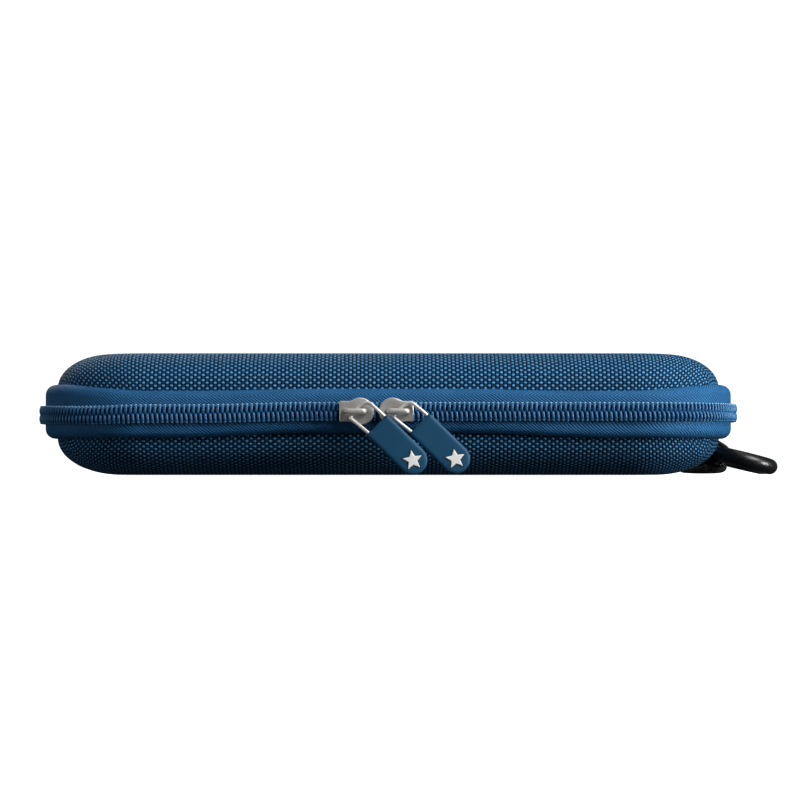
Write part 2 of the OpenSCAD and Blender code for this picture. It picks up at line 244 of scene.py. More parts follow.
def capped(grid):
    # Closes both ends of a tube of sections with their middles
    start = np.broadcast_to(grid[:1].mean(1, keepdims=True), grid[:1].shape)
    end = np.broadcast_to(grid[-1:].mean(1, keepdims=True), grid[-1:].shape)
    return np.concatenate([start, grid, end])


def cappedMap(uv):
    return np.concatenate([uv[:1], uv, uv[-1:]])


def unit(v):
    return v / np.maximum(np.linalg.norm(v, axis=-1, keepdims=True), 1e-9)


def ringsRound(first, second, sides):
    # Circles of radius 1 about two ways: cosine times the first plus sine times the second
    a = np.linspace(0, 2 * np.pi, sides + 1)[:, None]
    return np.cos(a) * first[..., None, :] + np.sin(a) * second[..., None, :]


def tube(path, radius, sides=16, up=(0, 0, 1), domed=0.0):
    # Rings of the given radius round a path: two axes square to its tangent, one square to a fixed way up.
    # domed rounds its ends off with rings that shrink as a circle's chord does.
    path = np.array(path, float)
    radius = np.broadcast_to(np.array(radius, float), (len(path),)).copy()
    tangent = unit(np.gradient(path, axis=0))
    if domed:
        a = np.linspace(0.04, 1, 6)[:-1] * np.pi / 2
        reach, small = domed * np.cos(a), np.sin(a)
        path = np.concatenate([
            path[:1] - tangent[:1] * reach[:, None], path, path[-1:] + tangent[-1:] * reach[::-1, None],
        ])
        radius = np.concatenate([radius[0] * small, radius, radius[-1] * small[::-1]])
        before, after = [np.repeat(end, len(a), 0) for end in (tangent[:1], tangent[-1:])]
        tangent = np.concatenate([before, tangent, after])
    first = unit(np.cross(tangent, np.broadcast_to(np.array(up, float), tangent.shape)))
    second = np.cross(first, tangent)
    return path[:, None] + ringsRound(first, second, sides) * radius[:, None, None]


def bent(points, reach, steps=7):
    # Rounds a path's corners: each becomes a curve of two blends from a point before it to a point after it
    points = np.array(points, float)
    t = np.linspace(0, 1, steps)[:, None]
    made = [points[:1]]
    for before, corner, after in zip(points[:-2], points[1:-1], points[2:]):
        a, b = [corner + unit(end - corner) * min(reach, np.linalg.norm(end - corner) * 0.48)
                for end in (before, after)]
        made.append((1 - t) ** 2 * a + 2 * t * (1 - t) * corner + t ** 2 * b)
    return np.concatenate(made + [points[-1:]])


def slab(outline, low, high, lowBevel=(0.3, 0.3), highBevel=(0.3, 0.3), steps=5):
    # A plate with rounded edges: rings of the outline, drawn in as a quarter ellipse of (inset, height) asks,
    # and closed to the middle. The outline is a function of the inset, or points to draw in along their own
    # normals.
    a = np.linspace(0, np.pi / 2, steps)
    inset = np.concatenate([lowBevel[0] * (1 - np.sin(a)), highBevel[0] * (1 - np.sin(a[::-1]))])
    level = np.concatenate([low + lowBevel[1] * (1 - np.cos(a)), high - highBevel[1] * (1 - np.cos(a[::-1]))])
    if callable(outline):
        rings = np.stack([outline(i) for i in inset])
    else:
        outline = np.array(outline, float)
        way = unit(np.roll(outline, -1, 0) - np.roll(outline, 1, 0))
        rings = outline[None] + np.stack([-way[:, 1], way[:, 0]], 1)[None] * inset[:, None, None]
    middle = rings[0].mean(0)
    cap = np.array([0.0, 0.45, 0.8])
    lowCap = middle + (rings[:1] - middle) * cap[:, None, None]
    highCap = middle + (rings[-1:] - middle) * cap[::-1, None, None]
    rings = np.concatenate([lowCap, rings, highCap])
    level = np.concatenate([np.full(3, low), level, np.full(3, high)])
    rings = np.concatenate([rings, rings[:, :1]], 1)
    return np.concatenate([rings, np.broadcast_to(level[:, None, None], rings.shape[:2] + (1,))], 2)


def meshPiece(name, parts, body, finish, replaced=(), crease=35, weld=0.002):
    # Puts grids of points, each with its own map, into one mesh. Matching points are merged, which closes
    # seams and poles, and faces are turned outward.
    points, faces, maps, start = [], [], [], 0
    for grid, uv in parts:
        n, m = grid.shape[:2]
        index = start + np.arange(n * m).reshape(n, m)
        quads = np.stack([index[:-1, :-1], index[1:, :-1], index[1:, 1:], index[:-1, 1:]], -1).reshape(-1, 4)
        points.append(grid.reshape(-1, 3))
        maps.append(np.zeros((n * m, 2)) if uv is None else np.array(uv).reshape(-1, 2))
        faces.append(quads)
        start += n * m
    points, faces, maps = np.concatenate(points) * mm, np.concatenate(faces), np.concatenate(maps)
    mesh = bpy.data.meshes.new(name)
    mesh.vertices.add(len(points))
    mesh.vertices.foreach_set("co", points.astype(np.float32).ravel())
    mesh.loops.add(faces.size)
    mesh.loops.foreach_set("vertex_index", faces.astype(np.int32).ravel())
    mesh.polygons.add(len(faces))
    mesh.polygons.foreach_set("loop_start", np.arange(0, faces.size, 4, dtype=np.int32))
    mesh.update(calc_edges=True)
    layer = mesh.uv_layers.new(name="cloth")
    layer.data.foreach_set("uv", maps[faces.ravel()].astype(np.float32).ravel())
    work = bmesh.new()
    work.from_mesh(mesh)
    bmesh.ops.remove_doubles(work, verts=work.verts, dist=weld * mm)
    bmesh.ops.dissolve_degenerate(work, edges=work.edges, dist=weld * mm / 2)
    bmesh.ops.recalc_face_normals(work, faces=work.faces)
    work.to_mesh(mesh)
    work.free()
    mesh.shade_smooth()
    mesh.set_sharp_from_angle(angle=math.radians(crease))
    mesh.materials.append(finish)
    piece = bpy.data.objects.new(name, mesh)
    scene.collection.objects.link(piece)
    if body:
        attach(piece, body)
    if replaced:
        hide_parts(*replaced)
    return piece


# Shader maths
class Wire:
    # A socket that Python's own operators add Math nodes to
    def __init__(self, finish, socket):
        self.finish = finish
        self.socket = socket

    def maths(self, operation, *values):
        return self.finish.node("ShaderNodeMath", {"operation": operation}, dict(enumerate(values)))

    def __add__(self, other):
        return self.maths("ADD", self, other)

    def __sub__(self, other):
        return self.maths("SUBTRACT", self, other)

    def __rsub__(self, other):
        return self.maths("SUBTRACT", other, self)

    def __mul__(self, other):
        return self.maths("MULTIPLY", self, other)

    def __truediv__(self, other):
        return self.maths("DIVIDE", self, other)

    def __pow__(self, other):
        return self.maths("POWER", self, other)

    __radd__ = __add__
    __rmul__ = __mul__

    def floor(self):
        return self.maths("FLOOR", self)

    def sine(self):
        return self.maths("SINE", self)

    def cosine(self):
        return self.maths("COSINE", self)

    def size(self):
        return self.maths("ABSOLUTE", self)

    def atLeast(self, other):
        return self.maths("MAXIMUM", self, other)

    def atMost(self, other):
        return self.maths("MINIMUM", self, other)

    def between(self, low, high):
        # A smooth step from 0 at low to 1 at high
        return self.finish.node("ShaderNodeMapRange", {"interpolation_type": "SMOOTHSTEP"},
                                {"Value": self, "From Min": low, "From Max": high})


class Finish:
    # One material, with a Principled shader and a method that adds any other node
    def __init__(self, name, **constants):
        self.material = bpy.data.materials.new(name)
        self.material.use_nodes = True
        self.tree = self.material.node_tree
        self.shader = self.tree.nodes["Principled BSDF"]
        for socket, value in constants.items():
            name = socketNames.get(socket, socket)
            self.shader.inputs[name].default_value = value

    def node(self, kind, settings=None, values=None, output=0):
        made = self.tree.nodes.new(kind)
        for name, value in (settings or {}).items():
            if name == "stops":
                ramp = made.color_ramp
                while len(ramp.elements) < len(value):
                    ramp.elements.new(0.5)
                for element, (place, colour) in zip(ramp.elements, value):
                    element.position = place
                    element.color = (*colour, 1)
            else:
                setattr(made, name, value)
        for name, value in (values or {}).items():
            self.feed(made.inputs[name], value)
        return Wire(self, made.outputs[output])

    def feed(self, socket, value):
        if isinstance(value, Wire):
            self.tree.links.new(value.socket, socket)
        else:
            socket.default_value = value

    def coat(self, socket, value):
        self.feed(self.shader.inputs[socket], value)

    def place(self):
        # Object coordinates, in metres
        return self.node("ShaderNodeTexCoord", output="Object")

    def cloth(self):
        # The piece's own map, in millimetres, as two numbers
        uv = self.node("ShaderNodeUVMap", {"uv_map": "cloth"})
        return uv, self.part(uv, 0), self.part(uv, 1)

    def part(self, vector, axis):
        return self.node("ShaderNodeSeparateXYZ", None, {0: vector}, output=axis)

    def noise(self, vector, scale, detail=3.0, rough=0.5):
        return self.node("ShaderNodeTexNoise", None,
                         {"Vector": vector, "Scale": scale, "Detail": detail, "Roughness": rough})

    def stretched(self, vector, scale):
        return self.node("ShaderNodeVectorMath", {"operation": "MULTIPLY"}, {0: vector, 1: scale})

    def ramp(self, value, *stops):
        return self.node("ShaderNodeValToRGB", {"stops": stops}, {"Fac": value})

    def raised(self, height, depth, strength=1.0, under=None):
        # A bump of that depth in millimetres, over another one if it is given
        values = {"Height": height, "Distance": depth * mm, "Strength": strength}
        if under is not None:
            values["Normal"] = under
        return self.node("ShaderNodeBump", None, values)


socketNames = {
    "colour": "Base Color", "rough": "Roughness", "metal": "Metallic", "gloss": "Specular IOR Level",
    "sheen": "Sheen Weight", "sheenRough": "Sheen Roughness",
    "coat": "Coat Weight", "coatRough": "Coat Roughness",
}


def wovenFinish(name, look):
    # Plain weave: each yarn is a rounded ridge whose height swings as a sine over and under the yarns it
    # crosses, and the higher yarn shows. Two families cross at their own pitches.
    f = Finish(name, rough=look["rough"], gloss=look["gloss"], sheen=look["sheen"], sheenRough=0.45)
    uv, u, v = f.cloth()
    wander = (f.noise(uv, 0.09, 2.0) - 0.5) * look["wander"]
    across, along = (u + wander) / look["pitch"][0], (v + wander) / look["pitch"][1]
    i, j = across.floor(), along.floor()
    overAlong = (i * math.pi).cosine() * (along * math.pi).sine() * -1
    overAcross = (j * math.pi).cosine() * (across * math.pi).sine()

    def ridge(place, cell, width):
        centred = (place - cell - 0.5) * (2 / width)
        return (1 - centred * centred).atLeast(0) ** 0.5

    warp = ridge(across, i, look["width"][0])
    weft = ridge(along, j, look["width"][1])
    warpHeight = warp * 0.5 + overAlong * look["swing"][0] + (warp - 1).atMost(0) * 0.35
    weftHeight = weft * 0.5 + overAcross * look["swing"][1] + (weft - 1).atMost(0) * 0.35 - look["weftDrop"]
    height = warpHeight.atLeast(weftHeight)
    warpOnTop = (warpHeight - weftHeight).between(-0.02, 0.02)
    fibresAlong = f.noise(f.stretched(uv, (9.0, 0.8, 1)), 1.0, 2.0)
    fibresAcross = f.noise(f.stretched(uv, (0.8, 9.0, 1)), 1.0, 2.0)
    fibres = fibresAcross + (fibresAlong - fibresAcross) * warpOnTop
    # The colour follows the yarn height: painted shade in the gaps between the yarns and a painted highlight on
    # their crests
    tone = height.between(look["dark"], look["light"]) * (0.75 + fibres * 0.5)
    patchy = f.noise(uv, 0.5, 2.0)
    tone = tone * (0.88 + patchy * 0.24)
    # gap and shade are painted shade low between the yarns, crest is a painted highlight on their tops
    stops = (0.0, look["gap"]), (0.35, look["shade"]), (0.75, look["colour"]), (1.0, look["crest"])
    f.coat("Base Color", f.ramp(tone, *stops))
    f.coat("Roughness", look["rough"] + (0.5 - fibres) * 0.3 + (1 - tone) * 0.15)
    under = f.raised(fibres, look["fibre"], 0.5)
    f.coat("Normal", f.raised(height, look["depth"], 1.0, under))
    return f.material


def herringboneFinish(name, look):
    # Zip tape: slanted ribs that turn back at the middle of the tape, a fine cross rib, and soft patches of
    # painted light and shade for puckers
    f = Finish(name, rough=look["rough"], gloss=look["gloss"], sheen=look["sheen"], sheenRough=0.4)
    uv, u, v = f.cloth()
    slant = (v - look["turnAt"]).size() * look["slant"] * look["way"]
    wander = (f.noise(uv, 0.35, 2.0) - 0.5) * 0.35
    rib = ((u + slant + wander) * (2 * math.pi / look["pitch"])).sine() * 0.5 + 0.5
    cross = (v * (2 * math.pi / 0.42)).sine() * 0.5 + 0.5
    fibres = f.noise(f.stretched(uv, (7.0, 7.0, 1)), 1.0, 3.0)
    # soft is painted light and shade for the puckers, in the colour only
    soft = f.noise(f.stretched(uv, (0.12, 0.25, 1)), 1.0, 2.0)
    tone = rib * 0.62 + cross * 0.08 + fibres * 0.26 + (soft - 0.5) * 0.3
    colour = f.ramp(tone, (0.1, look["shade"]), (0.55, look["colour"]), (1.0, look["crest"]))
    f.coat("Base Color", colour)
    f.coat("Roughness", look["rough"] + (fibres - 0.5) * 0.25)
    under = f.raised(fibres, 0.05, 0.5)
    f.coat("Normal", f.raised(rib + cross * 0.25, look["depth"], 0.9, under))
    return f.material


def ribbedFinish(name, look):
    # Narrow cloth such as webbing, binding and elastic: ribs across the strip, broken by lengthwise cords
    f = Finish(name, rough=look["rough"], gloss=look["gloss"], sheen=look["sheen"], sheenRough=0.4)
    uv, u, v = f.cloth()
    rib = (u * (2 * math.pi / look["pitch"])).sine() * 0.5 + 0.5
    cord = (v * (2 * math.pi / look["cord"])).sine() * 0.5 + 0.5
    weave = rib * (0.6 + cord * 0.4)
    fibres = f.noise(f.stretched(uv, (6.0, 6.0, 1)), 1.0, 3.0)
    tone = weave * 0.7 + fibres * 0.3
    f.coat("Base Color", f.ramp(tone, (0.05, look["shade"]), (0.6, look["colour"]), (1.0, look["crest"])))
    f.coat("Roughness", look["rough"] + (fibres - 0.5) * 0.3)
    f.coat("Normal", f.raised(weave + fibres * 0.2, look["depth"], 0.9))
    return f.material


def plainFinish(name, look):
    # Moulded or metal surfaces: two scales of grain, and a slow change of tone and roughness
    f = Finish(name, rough=look["rough"], metal=look.get("metal", 0.0), gloss=look.get("gloss", 0.5),
               coat=look.get("coat", 0.0), coatRough=look.get("coatRough", 0.2))
    place = f.place()
    coarse = f.noise(place, look["coarse"], 3.0)
    fine = f.noise(place, look["fine"], 4.0, 0.6)
    tone = coarse * 0.6 + fine * 0.4
    f.coat("Base Color", f.ramp(tone, (0.25, look["shade"]), (0.55, look["colour"]), (0.85, look["crest"])))
    swing = look["roughSwing"]
    f.coat("Roughness", look["rough"] + (fine - 0.5) * swing + (coarse - 0.5) * swing)
    f.coat("Normal", f.raised(fine, look["depth"], 0.6, f.raised(coarse, look["depth"] * 2, 0.4)))
    return f.material


def fleeceFinish(name, look):
    # Lining: short brushed pile, as cells of two sizes over a faint knit
    f = Finish(name, rough=look["rough"], gloss=0.25, sheen=look["sheen"], sheenRough=0.5)
    uv, u, v = f.cloth()
    knit = (u * (2 * math.pi / 0.9)).sine() * (v * (2 * math.pi / 0.7)).sine() * 0.5 + 0.5
    pile = f.noise(uv, 3.2, 4.0, 0.65)
    nap = f.noise(uv, 0.06, 3.0)
    tone = pile * 0.6 + knit * 0.15 + nap * 0.35
    f.coat("Base Color", f.ramp(tone, (0.3, look["shade"]), (0.55, look["colour"]), (0.85, look["crest"])))
    f.coat("Roughness", look["rough"] + (pile - 0.5) * 0.2)
    f.coat("Normal", f.raised(pile + knit * 0.3, look["depth"], 0.8))
    return f.material


print("Making the finishes")
# In the weave, gap and shade are painted shade between the yarns and crest is a painted highlight on the yarn
# tops
weaveLook = {
    "pitch": (1.25, 0.9), "width": (0.98, 0.97), "swing": (0.4, 0.22), "weftDrop": 0.27, "wander": 0.5,
    "dark": 0.08, "light": 0.87, "depth": 0.55, "fibre": 0.06, "rough": 0.52, "gloss": 0.1, "sheen": 0.0,
    "gap": (0.0003, 0.003, 0.011), "shade": (0.004, 0.038, 0.1),
    "colour": (0.026, 0.145, 0.31), "crest": (0.11, 0.33, 0.58),
}
tapeLook = {
    "pitch": 1.2, "slant": 1.3, "turnAt": 4.9, "way": -1, "depth": 0.16, "rough": 0.6, "gloss": 0.16,
    "sheen": 0.0, "shade": (0.006, 0.055, 0.15), "colour": (0.014, 0.105, 0.255), "crest": (0.04, 0.2, 0.42),
}
webLook = {
    "pitch": 0.9, "cord": 1.5, "depth": 0.2, "rough": 0.6, "gloss": 0.35, "sheen": 0.12,
    "shade": (0.002, 0.002, 0.002), "colour": (0.008, 0.008, 0.009), "crest": (0.03, 0.03, 0.034),
}
outerWeave = wovenFinish("outerWeave", weaveLook)
upperTapeCloth = herringboneFinish("upperTapeCloth", tapeLook)
lowerTapeCloth = herringboneFinish("lowerTapeCloth", {**tapeLook, "way": 1, "turnAt": 5.2})
hingeCloth = herringboneFinish("hingeCloth", {**tapeLook, "turnAt": 9.0})
webbing = ribbedFinish("webbing", webLook)
bindingCloth = ribbedFinish("bindingCloth", {
    **webLook, "pitch": 0.7, "cord": 6.6, "crest": (0.04, 0.04, 0.045),
})
elasticCloth = ribbedFinish("elasticCloth", {**webLook, "pitch": 5.0, "cord": 1.1, "depth": 0.25})
# One thread in two copies: the pale one on the upper half is painted light, the darker blue one on the lower
# half painted shade
threadLook = {
    "pitch": 0.35, "cord": 0.3, "depth": 0.05, "rough": 0.4, "gloss": 0.5, "sheen": 0.1,
    "shade": (0.13, 0.28, 0.43), "colour": (0.24, 0.43, 0.6), "crest": (0.4, 0.6, 0.76),
}
threads = {
    "upper": ribbedFinish("threadPaleLit", threadLook),
    "lower": ribbedFinish("threadBlueShaded", {
        **threadLook, "shade": (0.02, 0.1, 0.2), "colour": (0.04, 0.16, 0.3), "crest": (0.08, 0.24, 0.42),
    }),
}
coilNylon = plainFinish("coilNylon", {
    "coarse": 60.0, "fine": 900.0, "rough": 0.36, "roughSwing": 0.15, "gloss": 0.4, "depth": 0.03,
    "shade": (0.012, 0.08, 0.2), "colour": (0.02, 0.12, 0.28), "crest": (0.03, 0.16, 0.36),
})
satinNickel = plainFinish("satinNickel", {
    "coarse": 120.0, "fine": 2600.0, "rough": 0.4, "roughSwing": 0.16, "metal": 0.55, "depth": 0.03,
    "shade": (0.5, 0.475, 0.445), "colour": (0.62, 0.595, 0.56), "crest": (0.74, 0.71, 0.67),
})
brightWire = plainFinish("brightWire", {
    "coarse": 150.0, "fine": 1200.0, "rough": 0.34, "roughSwing": 0.08, "metal": 0.45, "depth": 0.002,
    "shade": (0.7, 0.69, 0.67), "colour": (0.82, 0.81, 0.79), "crest": (0.9, 0.89, 0.87),
})
tabRubber = plainFinish("tabRubber", {
    "coarse": 90.0, "fine": 2200.0, "rough": 0.5, "roughSwing": 0.08, "gloss": 0.25, "depth": 0.014,
    "shade": (0.008, 0.056, 0.12), "colour": (0.01, 0.07, 0.145), "crest": (0.013, 0.084, 0.165),
})
# A darker copy of the tab rubber: painted shade in the groove round the star
shadedGrooveRubber = plainFinish("shadedGrooveRubber", {
    "coarse": 90.0, "fine": 2200.0, "rough": 0.5, "roughSwing": 0.08, "depth": 0.01,
    "shade": (0.001, 0.008, 0.02), "colour": (0.002, 0.012, 0.028), "crest": (0.003, 0.016, 0.034),
})
starWhite = plainFinish("starWhite", {
    "coarse": 200.0, "fine": 2500.0, "rough": 0.4, "roughSwing": 0.1, "gloss": 0.4, "depth": 0.012,
    "shade": (0.8, 0.8, 0.79), "colour": (0.9, 0.9, 0.89), "crest": (0.95, 0.95, 0.94),
})
blackCoat = plainFinish("blackCoat", {
    "coarse": 90.0, "fine": 1500.0, "rough": 0.33, "roughSwing": 0.14, "gloss": 0.5, "depth": 0.02,
    "shade": (0.0035, 0.0035, 0.004), "colour": (0.006, 0.006, 0.0065), "crest": (0.012, 0.012, 0.013),
})
pinSteel = plainFinish("pinSteel", {
    "coarse": 200.0, "fine": 2500.0, "rough": 0.3, "roughSwing": 0.15, "metal": 1.0, "depth": 0.015,
    "shade": (0.4, 0.4, 0.4), "colour": (0.55, 0.55, 0.54), "crest": (0.66, 0.66, 0.65),
})
foamGrey = plainFinish("foamGrey", {
    "coarse": 250.0, "fine": 3000.0, "rough": 0.85, "roughSwing": 0.1, "gloss": 0.2, "depth": 0.12,
    "shade": (0.012, 0.013, 0.015), "colour": (0.022, 0.024, 0.026), "crest": (0.036, 0.038, 0.042),
})
liningFleece = fleeceFinish("liningFleece", {
    "rough": 0.85, "sheen": 0.3, "depth": 0.25,
    "shade": (0.006, 0.0065, 0.0075), "colour": (0.014, 0.015, 0.017), "crest": (0.034, 0.036, 0.04),
})
netYarn = ribbedFinish("netYarn", {
    **webLook, "pitch": 0.5, "cord": 0.5, "depth": 0.05, "rough": 0.45,
    "shade": (0.012, 0.012, 0.013), "colour": (0.026, 0.026, 0.028), "crest": (0.06, 0.06, 0.066),
})

# Camera and light
print("Setting the camera and lights")
view = {"place": (3.8, -1004.0, 4.0), "tilt": 1.18, "lens": 136.8, "sensor": 36.0, "near": 0.01, "far": 20}
camera = bpy.data.objects.new("camera", bpy.data.cameras.new("camera"))
scene.collection.objects.link(camera)
camera.data.lens = view["lens"]
camera.data.sensor_width = view["sensor"]
camera.location = [p * mm for p in view["place"]]
camera.rotation_euler = (math.radians(90 + view["tilt"]), 0, 0)
camera.data.clip_start = view["near"]
camera.data.clip_end = view["far"]
scene.camera = camera

studio = {
    "key": {"place": (0.5, -0.5, 0.55), "size": 0.45, "power": 7.5},
    "fill": {"place": (-0.9, -0.9, 0.6), "size": 0.8, "power": 1.1},
    "top": {"place": (0.1, 0.1, 1.1), "size": 0.9, "power": 2},
    "rightEdge": {"place": (0.85, -0.28, 0.03), "size": 0.3, "power": 9},
    "leftEdge": {"place": (-0.8, -0.3, 0.03), "size": 0.3, "power": 1.2},
    "back": {"place": (-0.4, 0.9, 0.6), "size": 0.8, "power": 3.5},
}
studioAim = (0, 0, 0.02)
for name, lamp in studio.items():
    light = bpy.data.lights.new(name, "AREA")
    light.energy, light.size = lamp["power"], lamp["size"]
    holder = bpy.data.objects.new(name, light)
    scene.collection.objects.link(holder)
    holder.location = lamp["place"]
    aim = Vector(studioAim) - Vector(lamp["place"])
    holder.rotation_euler = aim.to_track_quat("-Z", "Y").to_euler()

# The camera sees a white background, and every other ray a dim blue one
airLook = {"white": 1.15, "dim": 0.04, "dimColour": (0.75, 0.88, 1.0, 1)}
world = bpy.data.worlds.new("studioAir")
scene.world = world
world.use_nodes = True
air = world.node_tree
seen = air.nodes.new("ShaderNodeLightPath")
white = air.nodes.new("ShaderNodeBackground")
white.inputs["Color"].default_value = (1, 1, 1, 1)
white.inputs["Strength"].default_value = airLook["white"]
dim = air.nodes["Background"]
dim.inputs["Color"].default_value = airLook["dimColour"]
dim.inputs["Strength"].default_value = airLook["dim"]
choose = air.nodes.new("ShaderNodeMixShader")
air.links.new(seen.outputs["Is Camera Ray"], choose.inputs[0])
air.links.new(dim.outputs[0], choose.inputs[1])
air.links.new(white.outputs[0], choose.inputs[2])
air.links.new(choose.outputs[0], air.nodes["World Output"].inputs["Surface"])
scene.view_settings.view_transform = "Standard"

ground = {"half": 6.0, "drop": 0.0004, "colour": (0.86, 0.86, 0.86, 1), "rough": 0.7, "glow": 0.97}
floorMesh = bpy.data.meshes.new("floor")
corners = [(-1, -1), (1, -1), (1, 1), (-1, 1)]
floorMesh.from_pydata([(x * ground["half"], y * ground["half"], 0) for x, y in corners], [], [(0, 1, 2, 3)])
floor = bpy.data.objects.new("floor", floorMesh)
floor.location.z = -ground["drop"]
scene.collection.objects.link(floor)
pale = Finish("paleFloor", colour=ground["colour"], rough=ground["rough"])
pale.shader.inputs["Emission Color"].default_value = (1, 1, 1, 1)
pale.shader.inputs["Emission Strength"].default_value = ground["glow"]
floorMesh.materials.append(pale.material)
floor.visible_diffuse = False
floor.visible_glossy = False

# Shell halves
print("Moulding the shell halves")
layers = {
    "fabric": 1.0, "foam": 4.0, "lining": 0.8, "binding": 0.8, "slip": 0.02, "tuckOff": 6.4, "tuckLead": 0.5,
    "rimOff": 0.4, "rimOut": 1.0, "rimRound": 0.3, "rimFall": 3.0, "liningRimOff": 1.0, "beadR": 2.4,
    "bindingOff": 7.0, "bindingIn": 0.4, "bindingHalf": 0.38,
}
inner = layers["fabric"] + layers["foam"]
fullStops = rimStops(cornerR, halfRim(cornerR))


def sideLine(u, fromDepth, toDepth, steps=4):
    return np.stack([np.full(steps, u), np.linspace(fromDepth, toDepth, steps)], 1)


def clothLayer(name, half, outer, inside, rimOff, finish, replaced):
    # Outer face from the middle out and up to the rim, over the rounded edge, and back along the inner face
    depth = half["height"] - rimOff
    section = placed(half, np.concatenate([
        [[0, outer]], edgeCurve(half, outer), sideLine(cornerR - outer, half["rise"], depth)[1:],
        sideLine(cornerR - inside, depth, half["rise"])[:-1], edgeCurve(half, inside)[::-1], [[0, inside]],
    ]))
    meshPiece(name, [(carried(section, fullStops, cornerR, True), clothMap(section, fullStops, cornerR))],
              half["body"], finish, [replaced], crease=50)


for name, half in halves.items():
    clothLayer(name + "Weave", half, 0, layers["fabric"], layers["tuckOff"], outerWeave,
               name + "_fabric")

    # The foam's bead is a quarter circle that follows the inside of the tape
    height, beadR = half["height"], layers["beadR"]
    edge = tapeEdge(fullStops, half)[:, None]
    fromTurn = np.arccos(np.clip((layers["tuckOff"] - edge + case["tapeBulge"]) / beadR, -1, 1))
    turn = fromTurn + (np.pi / 2 - fromTurn) * np.linspace(0, 1, 8)
    bead = np.stack([cornerR + case["tapeT"] + beadR * np.sin(turn),
                     height - edge + case["tapeBulge"] - beadR * np.cos(turn)], 2)
    skin = layers["fabric"] + layers["slip"]
    rimU, rimDepth = cornerR + layers["rimOut"], height - layers["rimOff"]
    tuck = [cornerR - skin, height - layers["tuckOff"] - layers["tuckLead"]]
    before = np.concatenate([[[0, skin]], edgeCurve(half, skin), [tuck]])
    after = np.concatenate([
        [[rimU, height - layers["rimFall"]], [rimU, rimDepth - layers["rimRound"]],
         [rimU - layers["rimRound"], rimDepth], [cornerR - inner, rimDepth]],
        edgeCurve(half, inner)[::-1], [[0, inner]],
    ])
    before, after = [np.broadcast_to(part, (len(fullStops),) + part.shape) for part in (before, after)]
    section = placed(half, np.concatenate([before, bead, after], 1))
    meshPiece(name + "Foam", [(carried(section, fullStops, cornerR, True), None)], half["body"], foamGrey,
              [name + "_shell"])

    clothLayer(name + "Liner", half, inner + layers["slip"], inner + layers["lining"], layers["liningRimOff"],
               liningFleece, name + "_lining")

    # The binding is a flat tape with rolled edges
    tall = (layers["bindingOff"] - layers["rimOff"]) / 2
    wide, deep = ovalSection(layers["bindingHalf"], tall, 0.5, 0.35, 25)
    face = cornerR - inner - layers["lining"] - layers["bindingIn"]
    section = placed(half, np.stack([face + wide, rimDepth - tall + deep], 1))
    meshPiece(
        name + "Binding", [(carried(section, fullStops, cornerR), stripMap(section, fullStops))], half["body"],
        bindingCloth, [name + "_binding"])

# Zip tapes
print("Sewing in the zip tapes")
tapeCloths = {"lower": lowerTapeCloth, "upper": upperTapeCloth}
pucker = {"deep": 0.10, "wave": 5.3, "swell": 17.0, "fine": 0.06, "fineWave": 3.1}
tapeR = cornerR + tapeOut


def puckers(stops):
    # The slow waves of a tape that is sewn round a curve: a sine that a slower one swells, less a finer one
    slow = pucker["deep"] * np.sin(stops / pucker["wave"]) * np.sin(stops / pucker["swell"])
    return slow - pucker["fine"] * np.sin(stops / pucker["fineWave"] + 1.0)


def tapeFace(edge, r, steps=14):
    # One face of a tape at each stop, as (out, height off the zip) from its zip side to its sewn edge: a
    # straight fall, then a quarter circle of that radius back to the shell
    turn = np.linspace(np.pi / 2, 0, steps)[None]
    centre = (edge - case["tapeBulge"])[:, None]
    fall = case["tapeGap"] + (centre - case["tapeGap"]) * np.linspace(0, 1, 5)[None, :-1]
    out = cornerR + case["tapeT"] + r * np.sin(turn)
    straight = np.stack([np.full_like(fall, cornerR + case["tapeT"] + r), fall], 2)
    curve = np.stack([np.broadcast_to(out, (len(edge), steps)), centre + r * np.cos(turn)], 2)
    end = np.stack([np.full_like(centre, cornerR - case["tapeTuck"]), centre + r], 2)
    return np.concatenate([straight, curve, end], 1)


for name, half in halves.items():
    stops = rimStops(tapeR, zipEnd(tapeR, case["zipTurn"] + case["stopTurn"]), 1.6)
    edge = tapeEdge(stops, half)
    outer = tapeFace(edge, case["tapeBulge"])
    inside = tapeFace(edge, case["tapeBulge"] - case["tapeT"])
    section = ringed(np.concatenate([outer, inside[:, ::-1]], 1))
    section[..., 1] = half["height"] - section[..., 1]
    section = placed(half, section)
    grid = carried(section, stops, tapeR, wave=puckers)
    uv = cappedMap(stripMap(section, stops))
    meshPiece(name + "Tape", [(capped(grid), uv)], half["body"], tapeCloths[name], [name + "_tape"],
              crease=50)

# Zip coils
print("Winding the zip coils")
coil = {
    "pitch": 1.51, "wire": 0.46, "outer": 2.42, "inner": 0.22, "lean": 0.72, "shift": 0.25, "square": 0.85,
    "head": 0.26, "samples": 12, "sides": 6,
}
stitch = {"off": 2.66, "radius": 0.26, "half": 0.6, "sink": 0.5, "bend": 0.22, "spread": 0.16}
zipStop = {"from": 0.5, "to": 7.0, "sink": 0.05, "halfDeep": 0.95, "off": 1.75, "halfHigh": 1.15}
coilR = cornerR + tapeOut + case["coilT"] / 2
turns = int(2 * zipEnd(coilR, case["zipTurn"]) / coil["pitch"]) - 1


def coilStart(half):
    # The two coils are half a pitch apart, so that their heads pass between each other
    return half["way"] * coil["shift"] * coil["pitch"] - turns * coil["pitch"] / 2


def onZip(walk, out, off, half):
    # Places at a distance along the zip, out from the corners' centres and off the zip's own line, and the
    # way out
    x, y, nx, ny = rimAt(walk, coilR)
    z = case["zipZ"] + zipSag(walk) + half["way"] * off
    return np.stack([x + nx * out, y + ny * out, z], -1), np.stack([nx, ny, 0 * nx], -1)


